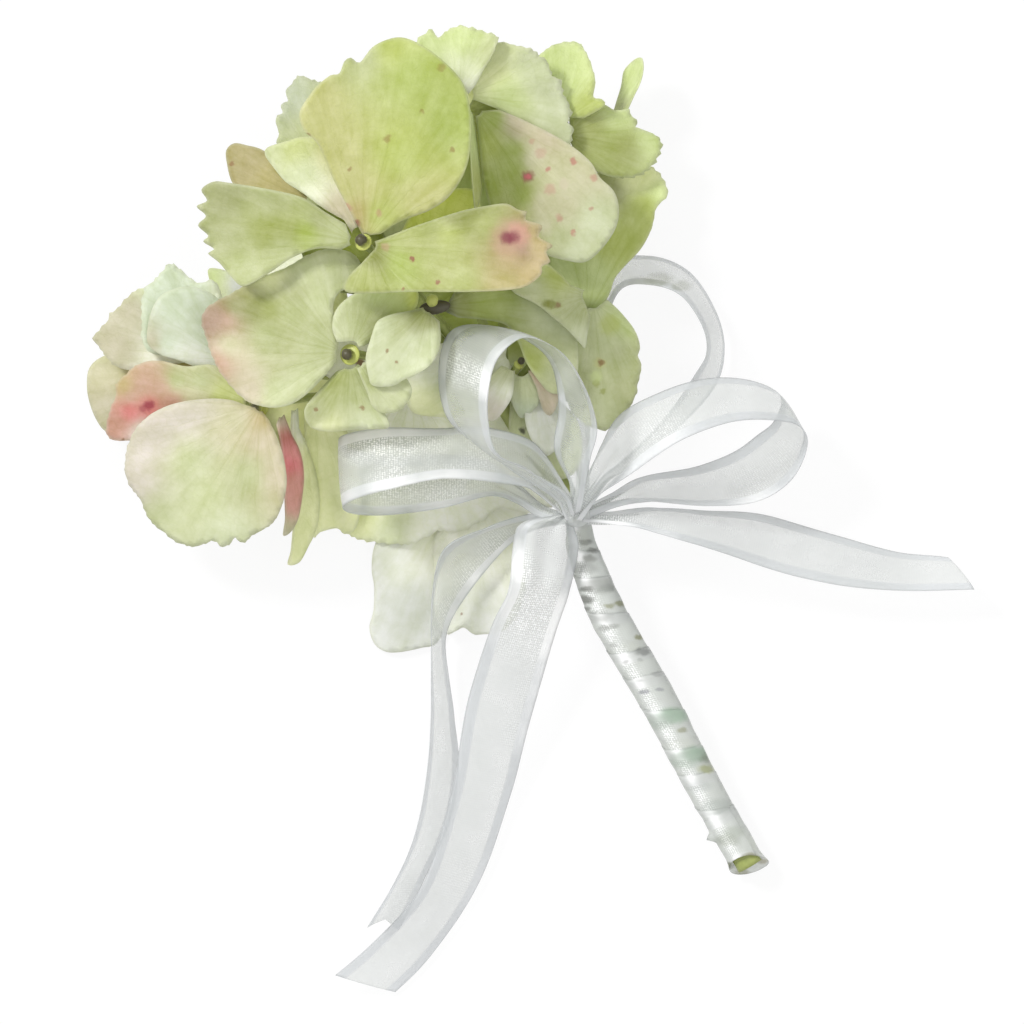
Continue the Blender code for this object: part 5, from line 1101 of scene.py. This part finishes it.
# Its dark edge line is drawn stronger than on the bow: partly the hem, partly painted shade at the step where each turn
# laps over the last.
winding_organza = organza(
    "winding_organza", 0.6, 0.66, (225, 228, 224), ((216, 219, 216), (226, 228, 226)), 0.35, 0.9,
    marks=(
        (11.6, -12.8, 1.6, (172, 174, 168), 0.5), (11.9, -18.0, 1.2, (190, 192, 188), 0.5),
        (9.3, -9.9, 1.2, (170, 172, 168), 0.5), (9.3, -5.4, 0.6, GREY, 0.6), (10.6, -6.9, 0.5, (128, 130, 122), 0.6),
        (9.9, -8.2, 0.7, (164, 166, 158), 0.6), (9.4, -13.4, 0.6, (120, 122, 114), 0.65),
        (9.3, -15.2, 0.8, (120, 122, 114), 0.7), (9.2, -16.8, 0.5, (128, 130, 122), 0.6),
        (13.0, -13.3, 0.8, (176, 180, 174), 0.6), (13.4, -16.3, 0.5, OLIVE_GREY, 0.55),
        (15.2, -15.9, 0.55, (150, 152, 100), 0.65), (12.5, -20.1, 0.6, GREY, 0.45), (14.2, -19.6, 0.5, GREY, 0.4),
        (14.0, -23.0, 0.4, GREY, 0.25), (18.5, -21.6, 0.5, (146, 148, 90), 0.6),
        (19.0, -24.1, 0.75, (140, 143, 140), 0.6), (16.2, -25.8, 0.35, GREY, 0.4), (18.6, -25.5, 0.3, GREY, 0.3),
        (19.2, -30.9, 0.5, LILAC, 0.6), (21.9, -30.5, 0.4, LILAC, 0.5), (18.4, -29.0, 0.4, GREY, 0.25),
        (21.4, -27.9, 0.5, (184, 186, 184), 0.6), (24.4, -34.9, 1.5, (166, 196, 168), 0.6),
        (21.6, -36.0, 1.5, (192, 202, 192), 0.6), (25.8, -37.4, 0.5, OLIVE_GREY, 0.5),
        (28.4, -41.5, 1.5, (162, 192, 164), 0.6), (26.2, -42.6, 1.6, (190, 202, 190), 0.6),
        (29.9, -44.1, 0.8, (176, 182, 116), 0.6), (28.6, -47.0, 1.2, (200, 204, 202), 0.4),
        (30.9, -42.2, 1.2, (160, 168, 150), 0.6), (33.4, -56.2, 1.2, (176, 182, 168), 0.5),
        (31.8, -50.5, 1.5, (190, 196, 190), 0.55), (34.6, -54.8, 1.1, (196, 202, 190), 0.5),
        (33.2, -60.6, 0.7, (104, 110, 70), 0.8), (36.0, -61.7, 0.7, (132, 132, 84), 0.6),
        (39.4, -59.8, 0.6, (152, 142, 98), 0.6), (37.4, -59.0, 0.7, (150, 146, 92), 0.5)))
line = rounded([(*p, r) for p, r in zip(WRAP_PATH, WRAP_RADII)], 0.4)
centres = [Vector(row[:3]) for row in line]
runs = runs_along(centres)
frames = frames_along(centres, Vector((0, 0, 1)))
turns = (runs[-1] - RIBBON_WIDTH * SLANT) / TURN
winding = bmesh.new()
bmesh.ops.create_grid(winding, x_segments=18, y_segments=round((turns + 2) * 60), size=0.5)
weave = []
for vert in winding.verts:
    u = (vert.co.x + 0.5) * RIBBON_WIDTH
    turned = (vert.co.y + 0.5) * (turns + 2)
    climb = min(max(turned - 1, 0.0), turns)
    angle = 0.8 - 2 * math.pi * turned
    height = climb * TURN + u * SLANT + 0.9 * math.sin(climb * 2.1) * min(1.0, climb)
    cut = MOUTH_TOP_CUT * (1 + math.cos(angle)) + MOUTH_SIDE_CUT * (1 - math.sin(angle))
    height += cut * max(0.0, 1 - height / 6)
    height = min(runs[-1], max(0.0, height))
    i = min(len(line) - 2, max(0, sum(r < height for r in runs) - 1))
    share = (height - runs[i]) / (runs[i + 1] - runs[i])
    radius = line[i][3] * (1 - share) + line[i + 1][3] * share
    out = frames[i][0] * math.cos(angle) + frames[i][1] * math.sin(angle)
    dent = noise.noise(Vector((height * 0.35, out.x * 1.1, out.z * 1.1)))
    radius += 0.16 * dent - LAP * (RIBBON_WIDTH - u) / TURN + 0.5 * dent * max(0.0, 1 - height / 4)
    corner = math.hypot((height - 9.4) / 0.9, math.remainder(angle + 1.45, 2 * math.pi) / 0.35)
    radius += 1.5 * max(0.0, 1 - corner)
    vert.co = (centres[i].lerp(centres[i + 1], share) + out * radius + ORIGIN_SHIFT) * MM
    # painted highlight: a bright stripe along the handle a little left of its top, where the lamp's reflection lies
    round_by = math.remainder(angle - PAINTED_HIGHLIGHT_SIDE, 2 * math.pi)
    painted_light_level = math.exp(-(round_by / PAINTED_HIGHLIGHT_WIDTH) ** 2) * (1.0 + 0.7 * noise.noise(Vector((height * 0.5, 0, 0))))
    weave.append((u, turned * 20.4, min(1.0, max(0.0, painted_light_level))))
handle = cloth_piece(winding, "organza_winding", winding_organza, weave, "stem_wrap")
thicken(handle, ORGANZA_WALL)

# ---- binding wire: dark florist's wire twisted round the neck under the ribbon ----
# Two turns of it hold the stem before the ribbon is wound over them.
WIRE_RADIUS = 0.2
WIRE_COIL = 2.2
WIRE_TURNS = 2.0
WIRE_STEPS = 60
wire_skin, tree, out = blank("wire_skin")
scuff = clouds(tree, add(tree, "ShaderNodeTexCoord").outputs["Object"], 900)["Fac"]
colour = blend(tree, scuff, paint((70, 76, 62)), paint((120, 126, 108)))
cover(tree, out, colour, scuff, 0.3, 0.0001, 0.45, 0.3)
ahead = Vector((-2.0, 6.0, 0.87)).normalized()
east = ahead.cross(Vector((0, 0, 1))).normalized()
top = east.cross(ahead)
coil = []
for step in range(WIRE_STEPS + 1):
    t = step / WIRE_STEPS
    centre = Vector((11.3, -12.7, 9.0)).lerp(Vector((9.4, -7.8, 9.73)), t)
    turn = 2 * math.pi * WIRE_TURNS * t + 0.6
    coil.append(tuple(centre + east * (WIRE_COIL * math.cos(turn)) + top * (WIRE_COIL * math.sin(turn))))
wire = bmesh.new()
pipe(wire, coil, [WIRE_RADIUS] * len(coil), 10, 0.4)
wire = finished(wire, "neck_wire", wire_skin)
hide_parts("binding_wire")

# ---- settings and sizes: colours are shown as they are painted ----
bpy.context.scene.view_settings.view_transform = "Standard"
low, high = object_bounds()
